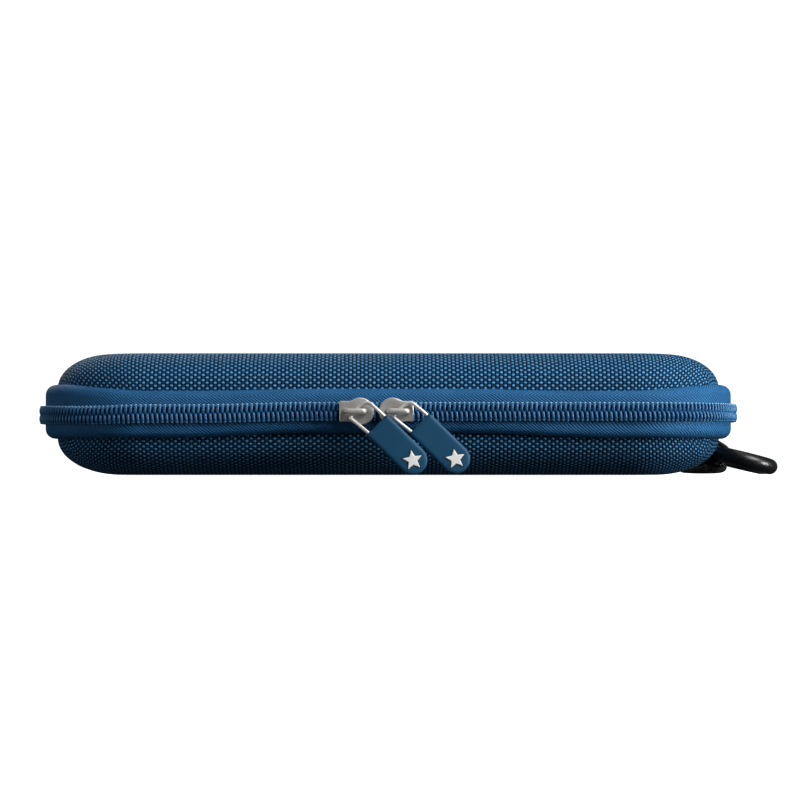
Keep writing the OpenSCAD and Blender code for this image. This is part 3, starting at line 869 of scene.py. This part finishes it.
def woundCoil(half):
    # A flattened spiral: the angle goes round, the way out and the height off the zip follow its cosine and
    # sine, and the walk along the rim slows on the front, so that the legs there lie nearly square to the
    # zip. The wire swells at the heads.
    angle = np.linspace(0, turns, turns * coil["samples"] + 1) * 2 * np.pi
    walk = coilStart(half) + coil["pitch"] / (2 * np.pi) * (angle - coil["lean"] * np.sin(angle))
    middleOff, halfOff = (coil["outer"] + coil["inner"]) / 2, (coil["outer"] - coil["inner"]) / 2
    off = middleOff + halfOff * squarish(np.sin(angle), coil["square"])
    out = coilR + (case["coilT"] / 2 - coil["wire"]) * squarish(np.cos(angle), coil["square"])
    path, way = onZip(walk, out, off, half)
    tangent = unit(np.gradient(path, axis=0))
    radial = way * np.cos(angle)[:, None] + upward * half["way"] * np.sin(angle)[:, None]
    radial = unit(radial - tangent * (radial * tangent).sum(1, keepdims=True))
    swell = coil["wire"] * (1 + coil["head"] * np.clip(-np.sin(angle), 0, 1) ** 3)
    return path[:, None] + ringsRound(radial, np.cross(tangent, radial), coil["sides"]) * swell[:, None, None]


def lockstitches(half):
    # Short threads that hold the coil down, one between each pair of legs, bent down and thinned at both ends
    middle = coilStart(half) + coil["pitch"] * (np.arange(turns - 1) + 1.0)
    t = np.linspace(-1, 1, 5)
    out = cornerR + coilOut - stitch["sink"] - stitch["bend"] * t ** 2
    centre, way = onZip(middle[:, None] + stitch["half"] * t, out, stitch["off"] + stitch["spread"] * t, half)
    thin = stitch["radius"] * np.array([0.0, 0.85, 1.0, 0.85, 0.0])
    return centre[:, :, None] + ringsRound(way, upward, 5) * thin[:, None, None]


def coilPatches(half):
    # Sewn patches over the coil's two ends
    deep, high = ovalSection(zipStop["halfDeep"], zipStop["halfHigh"], 0.5, 0.5, 21)
    depth = half["height"] - zipStop["off"] + high
    section = placed(half, np.stack([coilR - zipStop["sink"] + deep, depth], 1))
    near, far = [zipEnd(coilR, case["zipTurn"] + zipStop[end]) for end in ("from", "to")]
    made = []
    for side in (-1, 1):
        stops = side * np.linspace(near, far, 9)
        made.append((capped(carried(section, stops, coilR)), cappedMap(stripMap(section, stops))))
    return made


for name, half in halves.items():
    meshPiece(name + "Coil", [(capped(woundCoil(half)), None)], half["body"], coilNylon,
              [name + "_coil"], crease=80)
    # Each half's stitches take their own copy of the thread: painted light on the upper half, painted shade on
    # the lower
    meshPiece(name + "CoilThread", [(one, None) for one in lockstitches(half)], half["body"], threads[name],
              crease=80, weld=0.001)
    meshPiece(name + "ZipStops", coilPatches(half), half["body"], tapeCloths[name],
              [name + "_zip_stops"])

# Fabric hinge
print("Fitting the fabric hinge")
hingeFit = {"gap": 1.0, "bendHalf": 3.0}
start = zipEnd(tapeR, case["zipTurn"] + case["stopTurn"] + hingeFit["gap"])
middleBack = halfRim(tapeR)
cornerEnd = middleBack - runX
back = np.concatenate([np.linspace(start, cornerEnd, 14), np.linspace(cornerEnd, middleBack, 40)[1:]])
stops = np.concatenate([back, -back[-2::-1]])


def bothFaces(r):
    # The lower face from its sewn edge up to the zip, and the upper one from the zip to its own edge
    faces = []
    for half in halves.values():
        face = tapeFace(tapeEdge(stops, half), r)
        face[..., 1] = case["zipZ"] + half["way"] * face[..., 1]
        faces.append(face)
    return np.concatenate([faces[0][:, ::-1], faces[1]], 1)


outer, inside = bothFaces(case["tapeBulge"]), bothFaces(case["tapeBulge"] - case["tapeT"])
section = ringed(np.concatenate([outer, inside[:, ::-1]], 1))
uv = cappedMap(stripMap(section, np.linspace(0, 2 * (middleBack - start), len(stops))))
hinge = meshPiece("backHinge", [(capped(carried(section, stops, tapeR)), uv)], None, hingeCloth,
                  ["hinge_strip"], crease=50)
hingeY = (case["halfY"] + tapeOut) * mm
bendFrom, bendTo = [(case["zipZ"] + side * hingeFit["bendHalf"]) * mm for side in (-1, 1)]
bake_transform(hinge)

# Sliders
print("Casting the sliders")
slider = {
    "width": 8.6, "noseTurn": 118, "waist": [(-2.9, 0.12), (-3.7, -0.02), (-5.4, 0.0)],
    "tail": 6.55, "tailWidth": 6.5, "tailCorner": [(0.35, 0.05), (0.08, -0.15), (0.0, -0.6)],
    "plateIn": 6.2, "plateOut": 7.4, "backIn": 1.6, "backOut": 2.6, "backInset": 0.5,
    "crownLength": 7.3, "crownWidth": 1.8, "crownUnder": 1.5, "crownT": 1.2, "crownBack": 1.6,
    "crownBend": 1.25, "crownSink": 0.25, "crownEnd": 0.45, "crownTaper": 1.6,
    "lipOff": 3.8, "lipT": 0.35, "lipHalf": 1.7, "lipIn": tapeOut + 0.7, "lipSink": 0.5,
    "postHalf": 0.4, "postLength": 3.0, "postNose": 0.3, "postSink": 0.1,
}
pulls = {
    "left": {"facing": 1, "tabAt": (6.8, -4.3), "tabOut": 9.05, "wireLow": 2.65},
    "right": {"facing": -1, "tabAt": (6.8, -3.9), "tabOut": 7.7, "wireLow": 2.4},
}
for name, pull in pulls.items():
    low, high = boxOf("slider_" + name)
    nose = slider["width"] / 2
    pull["x"] = high[0] - nose if pull["facing"] > 0 else low[0] + nose
    pull["crownX"] = pull["x"] - pull["facing"] * slider["crownBack"]


def plateOutline(width, facing):
    # A round nose, a slight waist and a square tail with rounded corners, anticlockwise
    half = slider["tailWidth"] / 2 * width / slider["width"]
    nose = np.radians(np.linspace(-slider["noseTurn"], slider["noseTurn"], 41))
    upper = [(x, half + y) for x, y in slider["waist"]]
    upper = np.array(upper + [(x - slider["tail"], half + y) for x, y in slider["tailCorner"]])
    points = np.concatenate([
        width / 2 * np.stack([np.cos(nose), np.sin(nose)], 1), upper, [[-slider["tail"], 0]],
        (upper * [1, -1])[::-1],
    ])
    return points if facing > 0 else (points * [-1, 1])[::-1]


def crownBar(facing):
    # A rounded bar on two legs: an arch in (x, out) with an oval section that grows off the legs
    reach = slider["crownLength"] / 2 - slider["crownEnd"]
    foot = slider["plateOut"] - slider["crownSink"]
    top = slider["plateOut"] + slider["crownUnder"] + slider["crownT"] / 2
    corners = [(-reach, 0, foot), (-reach, 0, top), (reach, 0, top), (reach, 0, foot)]
    arch = bent(corners, slider["crownBend"], 10)
    spread = tube(arch, 1.0, 18, up=(0, 1, 0)) - arch[:, None]
    share = np.clip((arch[:, 2] - slider["plateOut"]) / slider["crownTaper"], 0, 1)[:, None]
    spread[..., 1] *= slider["crownWidth"] / 2 * (0.92 + 0.08 * share)
    spread[..., 0] *= 0.45 + 0.15 * share
    spread[..., 2] *= 0.45 + 0.15 * share
    bar = arch[:, None] + spread
    bar[..., 0] -= facing * slider["crownBack"]
    return capped(bar)


def onFront(grid, x):
    # Stands a grid of (x, height, out of the side) up against the front of the case
    return np.stack([x + grid[..., 0], -case["halfY"] - grid[..., 2], case["zipZ"] + grid[..., 1]], -1)


for name, pull in pulls.items():
    facing = pull["facing"]
    front = slab(plateOutline(slider["width"], facing), slider["plateIn"], slider["plateOut"], (0.2, 0.2),
                 (0.42, 0.38))
    rear = slab(plateOutline(slider["width"] - 2 * slider["backInset"], facing), slider["backIn"],
                slider["backOut"], (0.2, 0.2), (0.2, 0.2), 3)
    # The neck's post, and the lower lip under the widest place of the plate
    sink, end = slider["postSink"], slider["postLength"]
    neck = np.array([[-sink, -slider["postHalf"]], [end, -slider["postHalf"]], [end + slider["postNose"], 0.0],
                     [end, slider["postHalf"]], [-sink, slider["postHalf"]]]) * facing
    post = slab(neck, slider["backOut"] - sink, slider["plateIn"] + sink, (0.05, 0.05), (0.05, 0.05), 2)
    lip = np.array([[-1, -1], [1, -1], [1, 1], [-1, 1]]) * [slider["lipHalf"], slider["lipT"] / 2]
    lip[:, 1] -= slider["lipOff"] + slider["lipT"] / 2
    flange = slab(lip, slider["lipIn"], slider["plateOut"] - slider["lipSink"], (0.08, 0.2), (0.08, 0.2), 4)
    parts = [(onFront(grid, pull["x"]), None) for grid in (front, rear, crownBar(facing), post, flange)]
    meshPiece(name + "Slider", parts, name + "_slider", satinNickel, ["slider_" + name],
              crease=40)

# Pulls
print("Making the pulls")
tab = {
    "angle": 44.5, "width": 9.2, "length": 20.2, "thick": 2.6, "corner": 0.8, "backEdge": (0.55, 0.5),
    "frontEdge": (1.3, 0.7), "collarR": 0.82, "collarFrom": -0.12, "collarTo": 0.25,
    "starR": 3.2, "starIn": 1.45, "starT": 0.5, "starSink": 0.2,
    "grooveR": 0.5, "grooveIn": 0.32, "grooveSink": 0.15, "grooveHigh": 0.05,
    "wireR": 0.575, "legHalf": 3.6, "legDepth": 2.7, "wireHalf": 2.65, "wireBend": (4.3, 2.9), "bendR": 1.3,
}
lean = math.radians(tab["angle"])
hang = np.array([math.cos(lean), -math.sin(lean)])
across = np.array([math.sin(lean), math.cos(lean)])


def tabOutline(inset=0.0):
    # Straight sides, a half-round far end and small corners at the wire's end, anticlockwise
    half, length, corner = tab["width"] / 2 - inset, tab["length"] - inset, max(tab["corner"] - inset, 0.08)
    end = np.radians(np.linspace(-90, 90, 37))
    top = np.radians(np.linspace(90, 180, 7))
    sides = np.linspace(length - half, inset + corner, 9)[1:-1]
    nearEnd = np.linspace(half - corner, corner - half, 9)[1:-1]
    return np.concatenate([
        np.stack([length - half + half * np.cos(end), half * np.sin(end)], 1),
        np.stack([sides, np.full(7, half)], 1),
        np.stack([inset + corner + corner * np.cos(top), half - corner + corner * np.sin(top)], 1),
        np.stack([np.full(7, inset), nearEnd], 1),
        np.stack([inset + corner + corner * np.cos(top[::-1]), corner - half - corner * np.sin(top[::-1])], 1),
        np.stack([sides[::-1], np.full(7, -half)], 1),
    ])


def starOutline(r, inside, steps=3):
    # Ten corners in turn at the outer and the inner radius, joined by straight edges
    a = np.radians(36 * np.arange(11))
    reach = np.where(np.arange(11) % 2 == 0, r, inside)
    corners = np.stack([reach * np.cos(a), reach * np.sin(a)], 1)
    t = np.linspace(0, 1, steps + 1)[:-1]
    return (corners[:-1, None] + (corners[1:] - corners[:-1])[:, None] * t[None, :, None]).reshape(-1, 2)


def inTab(grid, pull):
    # Stands a drawing of the tab, which hangs along its own first axis, in its place on the front
    flat = grid[..., :1] * hang + grid[..., 1:2] * across
    x = pull["crownX"] + pull["tabAt"][0] + flat[..., 0]
    z = case["zipZ"] + pull["tabAt"][1] + flat[..., 1]
    return np.stack([x, -case["halfY"] - pull["tabOut"] - grid[..., 2], z], -1)


def pullPoint(pull, place, out):
    return (pull["crownX"] + place[0], -case["halfY"] - out, case["zipZ"] + place[1])


def pullPath(pull):
    # One leg out of the tab, round through the crown, and back down the other leg
    legOut = pull["tabOut"] + tab["thick"] / 2
    wireOut = slider["plateOut"] + slider["crownUnder"] / 2
    at, deep, leg = np.array(pull["tabAt"]), tab["legDepth"] * hang, tab["legHalf"] * across
    return bent([
        pullPoint(pull, at + leg + deep, legOut), pullPoint(pull, at + leg, legOut),
        pullPoint(pull, tab["wireBend"], (wireOut + legOut) / 2),
        pullPoint(pull, tab["wireHalf"] * across, wireOut),
        pullPoint(pull, -pull["wireLow"] * across, wireOut),
        pullPoint(pull, at - leg, legOut), pullPoint(pull, at - leg + deep, legOut),
    ], tab["bendR"], 9)


for name, pull in pulls.items():
    body, thick = name + "_pull", tab["thick"]
    form = [(inTab(slab(tabOutline, 0, thick, tab["backEdge"], tab["frontEdge"], 10), pull), None)]
    for side in (-1, 1):
        hole = tube([(tab[end], side * tab["legHalf"], thick / 2) for end in ("collarFrom", "collarTo")],
                    tab["collarR"], 16)
        form.append((inTab(capped(hole), pull), None))
    meshPiece(name + "Tab", form, body, tabRubber, ["pull_tab_" + name], crease=45)
    low = thick - tab["starSink"]
    star = slab(starOutline(tab["starR"], tab["starIn"]), low, low + tab["starT"], (0.02, 0.02), (0.22, 0.16))
    # The groove is a thin dark ring round the star, barely above the tab: painted shade where a groove would be
    groove = slab(starOutline(tab["starR"] + tab["grooveR"], tab["starIn"] + tab["grooveIn"]),
                  thick - tab["grooveSink"], thick + tab["grooveHigh"], (0.02, 0.02), (0.05, 0.03), 3)
    for mark in (star, groove):
        mark[..., 0] += tab["length"] - tab["width"] / 2
    meshPiece(name + "Star", [(inTab(star, pull), None)], body, starWhite, ["pull_star_" + name],
              crease=30)
    meshPiece(name + "StarGroove", [(inTab(groove, pull), None)], body, shadedGrooveRubber, crease=30)
    wire = tube(pullPath(pull), tab["wireR"], 16, up=(0, 1, 0), domed=0.2)
    meshPiece(name + "PullWire", [(wire, None)], body, brightWire, ["pull_wire_" + name],
              crease=60)

# Carabiner
print("Bending the carabiner")
hook = {
    "rodR": 2.6, "spine": (case["halfX"] + 2.8, 6.7), "outer": (case["halfX"] + 18.9, 2.65), "y": 12.0,
    "length": 44.0, "hingeInset": 3.6, "shoulder": 2.4, "tongueT": 1.8, "tongueIn": 0.8, "tongueRoot": 2.1,
    "tongueHalf": [(2.15, 0.0), (1.8, 1.5), (1.0, 2.3)],
    "gateR": 2.5, "gateGap": 0.4, "gateTip": [(0.8, 2.5), (0.3, 2.3), (0.0, 1.9)], "cheekTurn": 62,
    "cheekIn": 1.17, "pinR": 0.8, "pinHalf": 2.2, "springR": 1.15, "springWire": 0.22, "springTurns": 9,
    "springLength": 7.5,
}
slope = np.array(hook["outer"]) - np.array(hook["spine"])
span = np.linalg.norm(slope)
slope = slope / span
ovalR = span / 2
straight = hook["length"] - 2 * (ovalR + hook["rodR"])
hingeAt = -straight / 2 + hook["hingeInset"]


def inHook(points):
    # Lays a drawing of (away from the spine, along it, up) on the carabiner's own slope
    points = np.array(points, float)
    x = hook["spine"][0] + points[..., 0] * slope[0] - points[..., 2] * slope[1]
    z = hook["spine"][1] + points[..., 0] * slope[1] + points[..., 2] * slope[0]
    return np.stack([x, hook["y"] + points[..., 1], z], -1)


def hookCurve(fromAngle, toAngle, end, steps=22):
    a = np.radians(np.linspace(fromAngle, toAngle, steps))
    return np.stack([ovalR - ovalR * np.cos(a), end * (straight / 2 + ovalR * np.sin(a)), 0 * a], 1)


spinePath = np.linspace(-straight / 2, straight / 2, 18)[1:-1, None] * [0, 1, 0]
rod = tube(np.concatenate([hookCurve(180, 0, -1), spinePath, hookCurve(0, 180, 1)]), hook["rodR"], 24)
tongueSide = [(x, hingeAt + y) for x, y in hook["tongueHalf"]]
tongueSide = np.array([(hook["tongueRoot"], -straight / 2 - hook["tongueIn"])] + tongueSide)
tongueOutline = np.concatenate([tongueSide, (tongueSide * [-1, 1])[::-1]]) + [span, 0]
halfT = hook["tongueT"] / 2
tongue = slab(np.roll(tongueOutline, 1, 0), -halfT, halfT, (0.2, 0.2), (0.2, 0.2), 3)
meshPiece("carabinerHook", [(inHook(capped(rod)), None), (inHook(tongue), None)], "carabiner", blackCoat,
          ["carabiner_body"], crease=40)

# The gate is a rod with a rounded tip, and two cheeks of it reach over the tongue to the pin
solid = hingeAt + hook["shoulder"] + 0.8
tip = straight / 2 - hook["gateGap"]
gateLine = [(solid, hook["gateR"]), (solid + 0.5, hook["gateR"])]
gateLine += [(tip - back, r) for back, r in hook["gateTip"]]
gateRod = tube([(span, y, 0) for y, r in gateLine], [r for y, r in gateLine], 24)
gateParts = [(inHook(capped(gateRod)), None)]
cheekStart = hingeAt - hook["shoulder"]
for side in (-1, 1):
    a = np.radians(np.linspace(90 - hook["cheekTurn"], 90 + hook["cheekTurn"], 13))
    arc = np.stack([span + hook["gateR"] * np.cos(a), 0 * a, side * hook["gateR"] * np.sin(a)], 1)
    flat = arc[::-1].copy()
    flat[:, 2] = side * hook["cheekIn"]
    loop = np.concatenate([arc, flat, arc[:1]])
    middle = loop[:-1].mean(0)
    rings = [(cheekStart, 0.86), (cheekStart + 0.3, 1.0), (hingeAt, 1.0), (solid + 0.1, 1.0)]
    grid = np.stack([middle + (loop - middle) * size + np.array([0, y, 0]) for y, size in rings])
    gateParts.append((inHook(capped(grid)), None))
meshPiece("carabinerGate", gateParts, "gate", blackCoat, ["carabiner_gate"], crease=40)
rivet = tube([(span, hingeAt, -hook["pinHalf"]), (span, hingeAt, hook["pinHalf"])], hook["pinR"], 20,
             up=(0, 1, 0), domed=0.25)
meshPiece("gateRivet", [(inHook(rivet), None)], "carabiner", pinSteel, ["gate_pin"], crease=50)
springStart = hingeAt + hook["shoulder"] + 2.25
a = np.linspace(0, hook["springTurns"], hook["springTurns"] * 14) * 2 * np.pi
springPath = np.stack([span + hook["springR"] * np.cos(a), springStart + hook["springLength"] * a / a[-1],
                       hook["springR"] * np.sin(a)], 1)
spring = tube(springPath, hook["springWire"], 6, up=(0, 1, 0))
meshPiece("gateSpring", [(inHook(capped(spring)), None)], "gate", pinSteel, ["gate_spring"],
          crease=80)

# Webbing loop
print("Sewing the webbing loop")
web = {"width": 14.0, "thick": 1.1, "rootZ": 11.7, "turnR": 3.45, "turnFrom": 62, "turnTo": -205}


def strapAlong(line, halfWide, halfDeep, widePower, deepPower):
    # Carries a strap's oval section along a flat line, its thin way square to the line. Gives the places in
    # the line's plane, the distance across, and a map of length and width.
    tangent = unit(np.gradient(line, axis=0))
    normal = np.stack([-tangent[:, 1], tangent[:, 0]], 1)
    wide, deep = ovalSection(halfWide, halfDeep, widePower, deepPower)
    place = line[:, None] + normal[:, None] * deep[None, :, None]
    uv = np.stack(np.broadcast_arrays(lengthAlong(line)[:, None], wide[None]), 2)
    return place[..., 0], place[..., 1], np.broadcast_to(wide, place.shape[:2]), cappedMap(uv)


sx, sz = hook["spine"]
turn = np.radians(np.linspace(web["turnFrom"], web["turnTo"], 30))
loopPath = np.concatenate([
    [[case["halfX"] + 0.9, web["rootZ"] + 1.2], [case["halfX"] + 1.2, web["rootZ"]]],
    np.stack([sx + web["turnR"] * np.cos(turn), sz + web["turnR"] * np.sin(turn)], 1),
    [[sx - 2.5, 10.2], [sx - 2.2, 11.6], [sx - 2.0, 12.6]],
])
walk = lengthAlong(loopPath) / lengthAlong(loopPath)[-1]
loopPath = np.stack([np.interp(np.linspace(0, 1, 90), walk, loopPath[:, k]) for k in range(2)], 1)
for _ in range(6):
    loopPath[1:-1] = (loopPath[:-2] + 2 * loopPath[1:-1] + loopPath[2:]) / 4
x, z, wide, uv = strapAlong(loopPath, web["width"] / 2, web["thick"] / 2, 0.25, 0.45)
meshPiece("webbingLoop", [(capped(np.stack([x, hook["y"] + wide, z], 2)), uv)], "base", webbing,
          ["web_loop"], crease=60)

# The webbing's spare end lies folded in the wedge under the shell's rounded edge, as one dense stack
fold = {"front": 5.6, "back": 18.2, "stack": [
    (-8.3, 0.5), (-5.5, 0.32), (-2.5, 0.3), (0.0, 0.32), (2.6, 0.42), (4.6, 0.9), (5.4, 2.0), (5.3, 3.2),
    (4.3, 3.3), (2.8, 2.95), (1.5, 3.0), (0.2, 3.7), (-0.9, 4.9), (-1.3, 6.4), (-1.5, 7.4), (-2.1, 7.2),
    (-3.1, 5.8), (-4.4, 4.5), (-6.0, 3.3), (-7.8, 2.3), (-9.0, 1.6), (-9.1, 1.0),
], "root": [(-0.5, 8.2), (0.6, 8.5), (1.5, 8.95), (2.8, 9.4), (4.3, 9.4), (3.3, 11.0), (1.8, 11.9), (0.0, 11.9),
            (-0.3, 10.2)]}


def folded(outline):
    # Each pass cuts every corner into two, a quarter of the way along its sides. The outline of (out, height)
    # then runs from the front of the webbing to the back.
    outline = np.array(outline)
    for _ in range(2):
        ahead = np.roll(outline, -1, 0)
        outline = np.stack([outline * 0.75 + ahead * 0.25, outline * 0.25 + ahead * 0.75], 1).reshape(-1, 2)
    stack = slab(outline, fold["front"], fold["back"], (0.35, 0.5), (0.35, 0.5), 6)
    uv = np.stack([np.broadcast_to(lengthAlong(ringed(outline))[None] * 2, stack.shape[:2]), stack[..., 2]], 2)
    return np.stack([case["halfX"] + stack[..., 0], stack[..., 2], stack[..., 1]], 2), uv


meshPiece("webbingFold", [folded(fold["stack"]), folded(fold["root"])], "base", webbing, crease=60)

# Inside the case
print("Fitting out the inside")
strap = {"x": 48.0, "width": 22.0, "thick": 1.1, "riseOff": 7.2}
low = inner + layers["lining"] + layers["slip"] + strap["thick"] / 2
rise = edgeCurve(halves["lower"], low, 14)
top = [cornerR - low, halves["lower"]["height"] - strap["riseOff"]]
for name, x in (("left", -strap["x"]), ("right", strap["x"])):
    # A line across the tray, up both rounded edges
    halfLine = np.concatenate([[[0, low]], rise, [top]])
    frontHalf = np.stack([-runY - halfLine[:, 0], halfLine[:, 1]], 1)[::-1]
    y, z, wide, uv = strapAlong(np.concatenate([frontHalf, frontHalf[::-1] * [-1, 1]]), strap["width"] / 2,
                                strap["thick"] / 2 - layers["slip"], 0.2, 0.5)
    meshPiece(name + "Strap", [(capped(np.stack([x + wide, y, z], 2)), uv)], "base", elasticCloth,
              ["strap_" + name], crease=60)

netLow, netHigh = boxOf("mesh_pocket")
hemLow, hemHigh = boxOf("pocket_elastic")
net = {"cell": 2.6, "strand": 0.16, "flatten": 1.4, "columns": 45, "rows": 16, "y": 12, "hemLap": 1.2,
       "rimGap": 0.15}
netR = cornerR - inner - layers["lining"] - layers["binding"] - net["rimGap"]


def insidePocket(x, y):
    # Inside the rounded outline of the inner rim, behind the elastic
    dx, dy = np.maximum(np.abs(x) - runX, 0), np.maximum(np.abs(y) - runY, 0)
    return (np.hypot(dx, dy) < netR) & (y > hemHigh[1] - net["hemLap"])


# Hexagons by columns and rows: each strand is a short bar between two corners of the honeycomb
side = net["cell"] / math.sqrt(3)
i, j = np.meshgrid(np.arange(-net["columns"], net["columns"] + 1), np.arange(-net["rows"], net["rows"] + 1))
cx = (i + 0.5 * (j % 2)).ravel() * net["cell"]
cy = j.ravel() * side * 1.5 + net["y"]
ends = []
for turnDegrees in (30, 90, 150):
    near, far = math.radians(turnDegrees), math.radians(turnDegrees + 60)
    ends.append(np.stack([cx + side * math.cos(near), cy + side * math.sin(near),
                          cx + side * math.cos(far), cy + side * math.sin(far)], 1))
ends = np.concatenate(ends)
ends = ends[insidePocket(ends[:, 0], ends[:, 1]) & insidePocket(ends[:, 2], ends[:, 3])]
fromEnd, toEnd = ends[:, None, :2], ends[:, None, 2:]
line = fromEnd + (toEnd - fromEnd) * np.array([0.0, 1.0])[None, :, None]
way = unit(toEnd - fromEnd)
normal = np.concatenate([-way[..., 1:], way[..., :1]], 2)
a = np.radians([45, 135, 225, 315, 405])
ringSide, ringUp = np.cos(a) * net["strand"] * net["flatten"], np.sin(a) * net["strand"]
flat = line[:, :, None] + normal[:, :, None] * ringSide[None, None, :, None]
netZ = (netLow[2] + netHigh[2]) / 2
grid = np.concatenate([flat, np.broadcast_to(netZ + ringUp[None, None, :, None], flat.shape[:3] + (1,))], 3)
pocketNet = meshPiece("pocketNet", [(one, None) for one in grid], "lid", netYarn, ["mesh_pocket"],
                      crease=80, weld=0.0001)

# The elastic edge of the pocket, gathered in slow waves
hem = {"slack": 0.05, "gathers": ((0.12, 2.1, 0), (0.08, 3.7, 1)), "steps": 120}
hemMid = (hemLow + hemHigh) / 2
wide, deep = ovalSection((hemHigh[1] - hemLow[1]) / 2, (hemHigh[2] - hemLow[2]) / 2 - hem["slack"], 0.25, 0.6)
x = np.linspace(hemLow[0], hemHigh[0], hem["steps"])
gather = sum(size * np.sin(x * rate + shift) for size, rate, shift in hem["gathers"])
grid = np.stack(np.broadcast_arrays(x[:, None], hemMid[1] + wide, hemMid[2] + deep * (1 + gather[:, None])), 2)
uv = np.stack(np.broadcast_arrays(x[:, None], wide[None]), 2)
pocketHem = meshPiece("pocketHem", [(capped(grid), cappedMap(uv))], "lid", elasticCloth,
                      ["pocket_elastic"], crease=60)
# Laid flat, the net is the panel that it fills behind the hem, less its rounded corners
netSize = ((netHigh[0] - netLow[0]) * mm, (netHigh[1] - netLow[1]) * mm)
netSize[0] * netSize[1] * 0.9
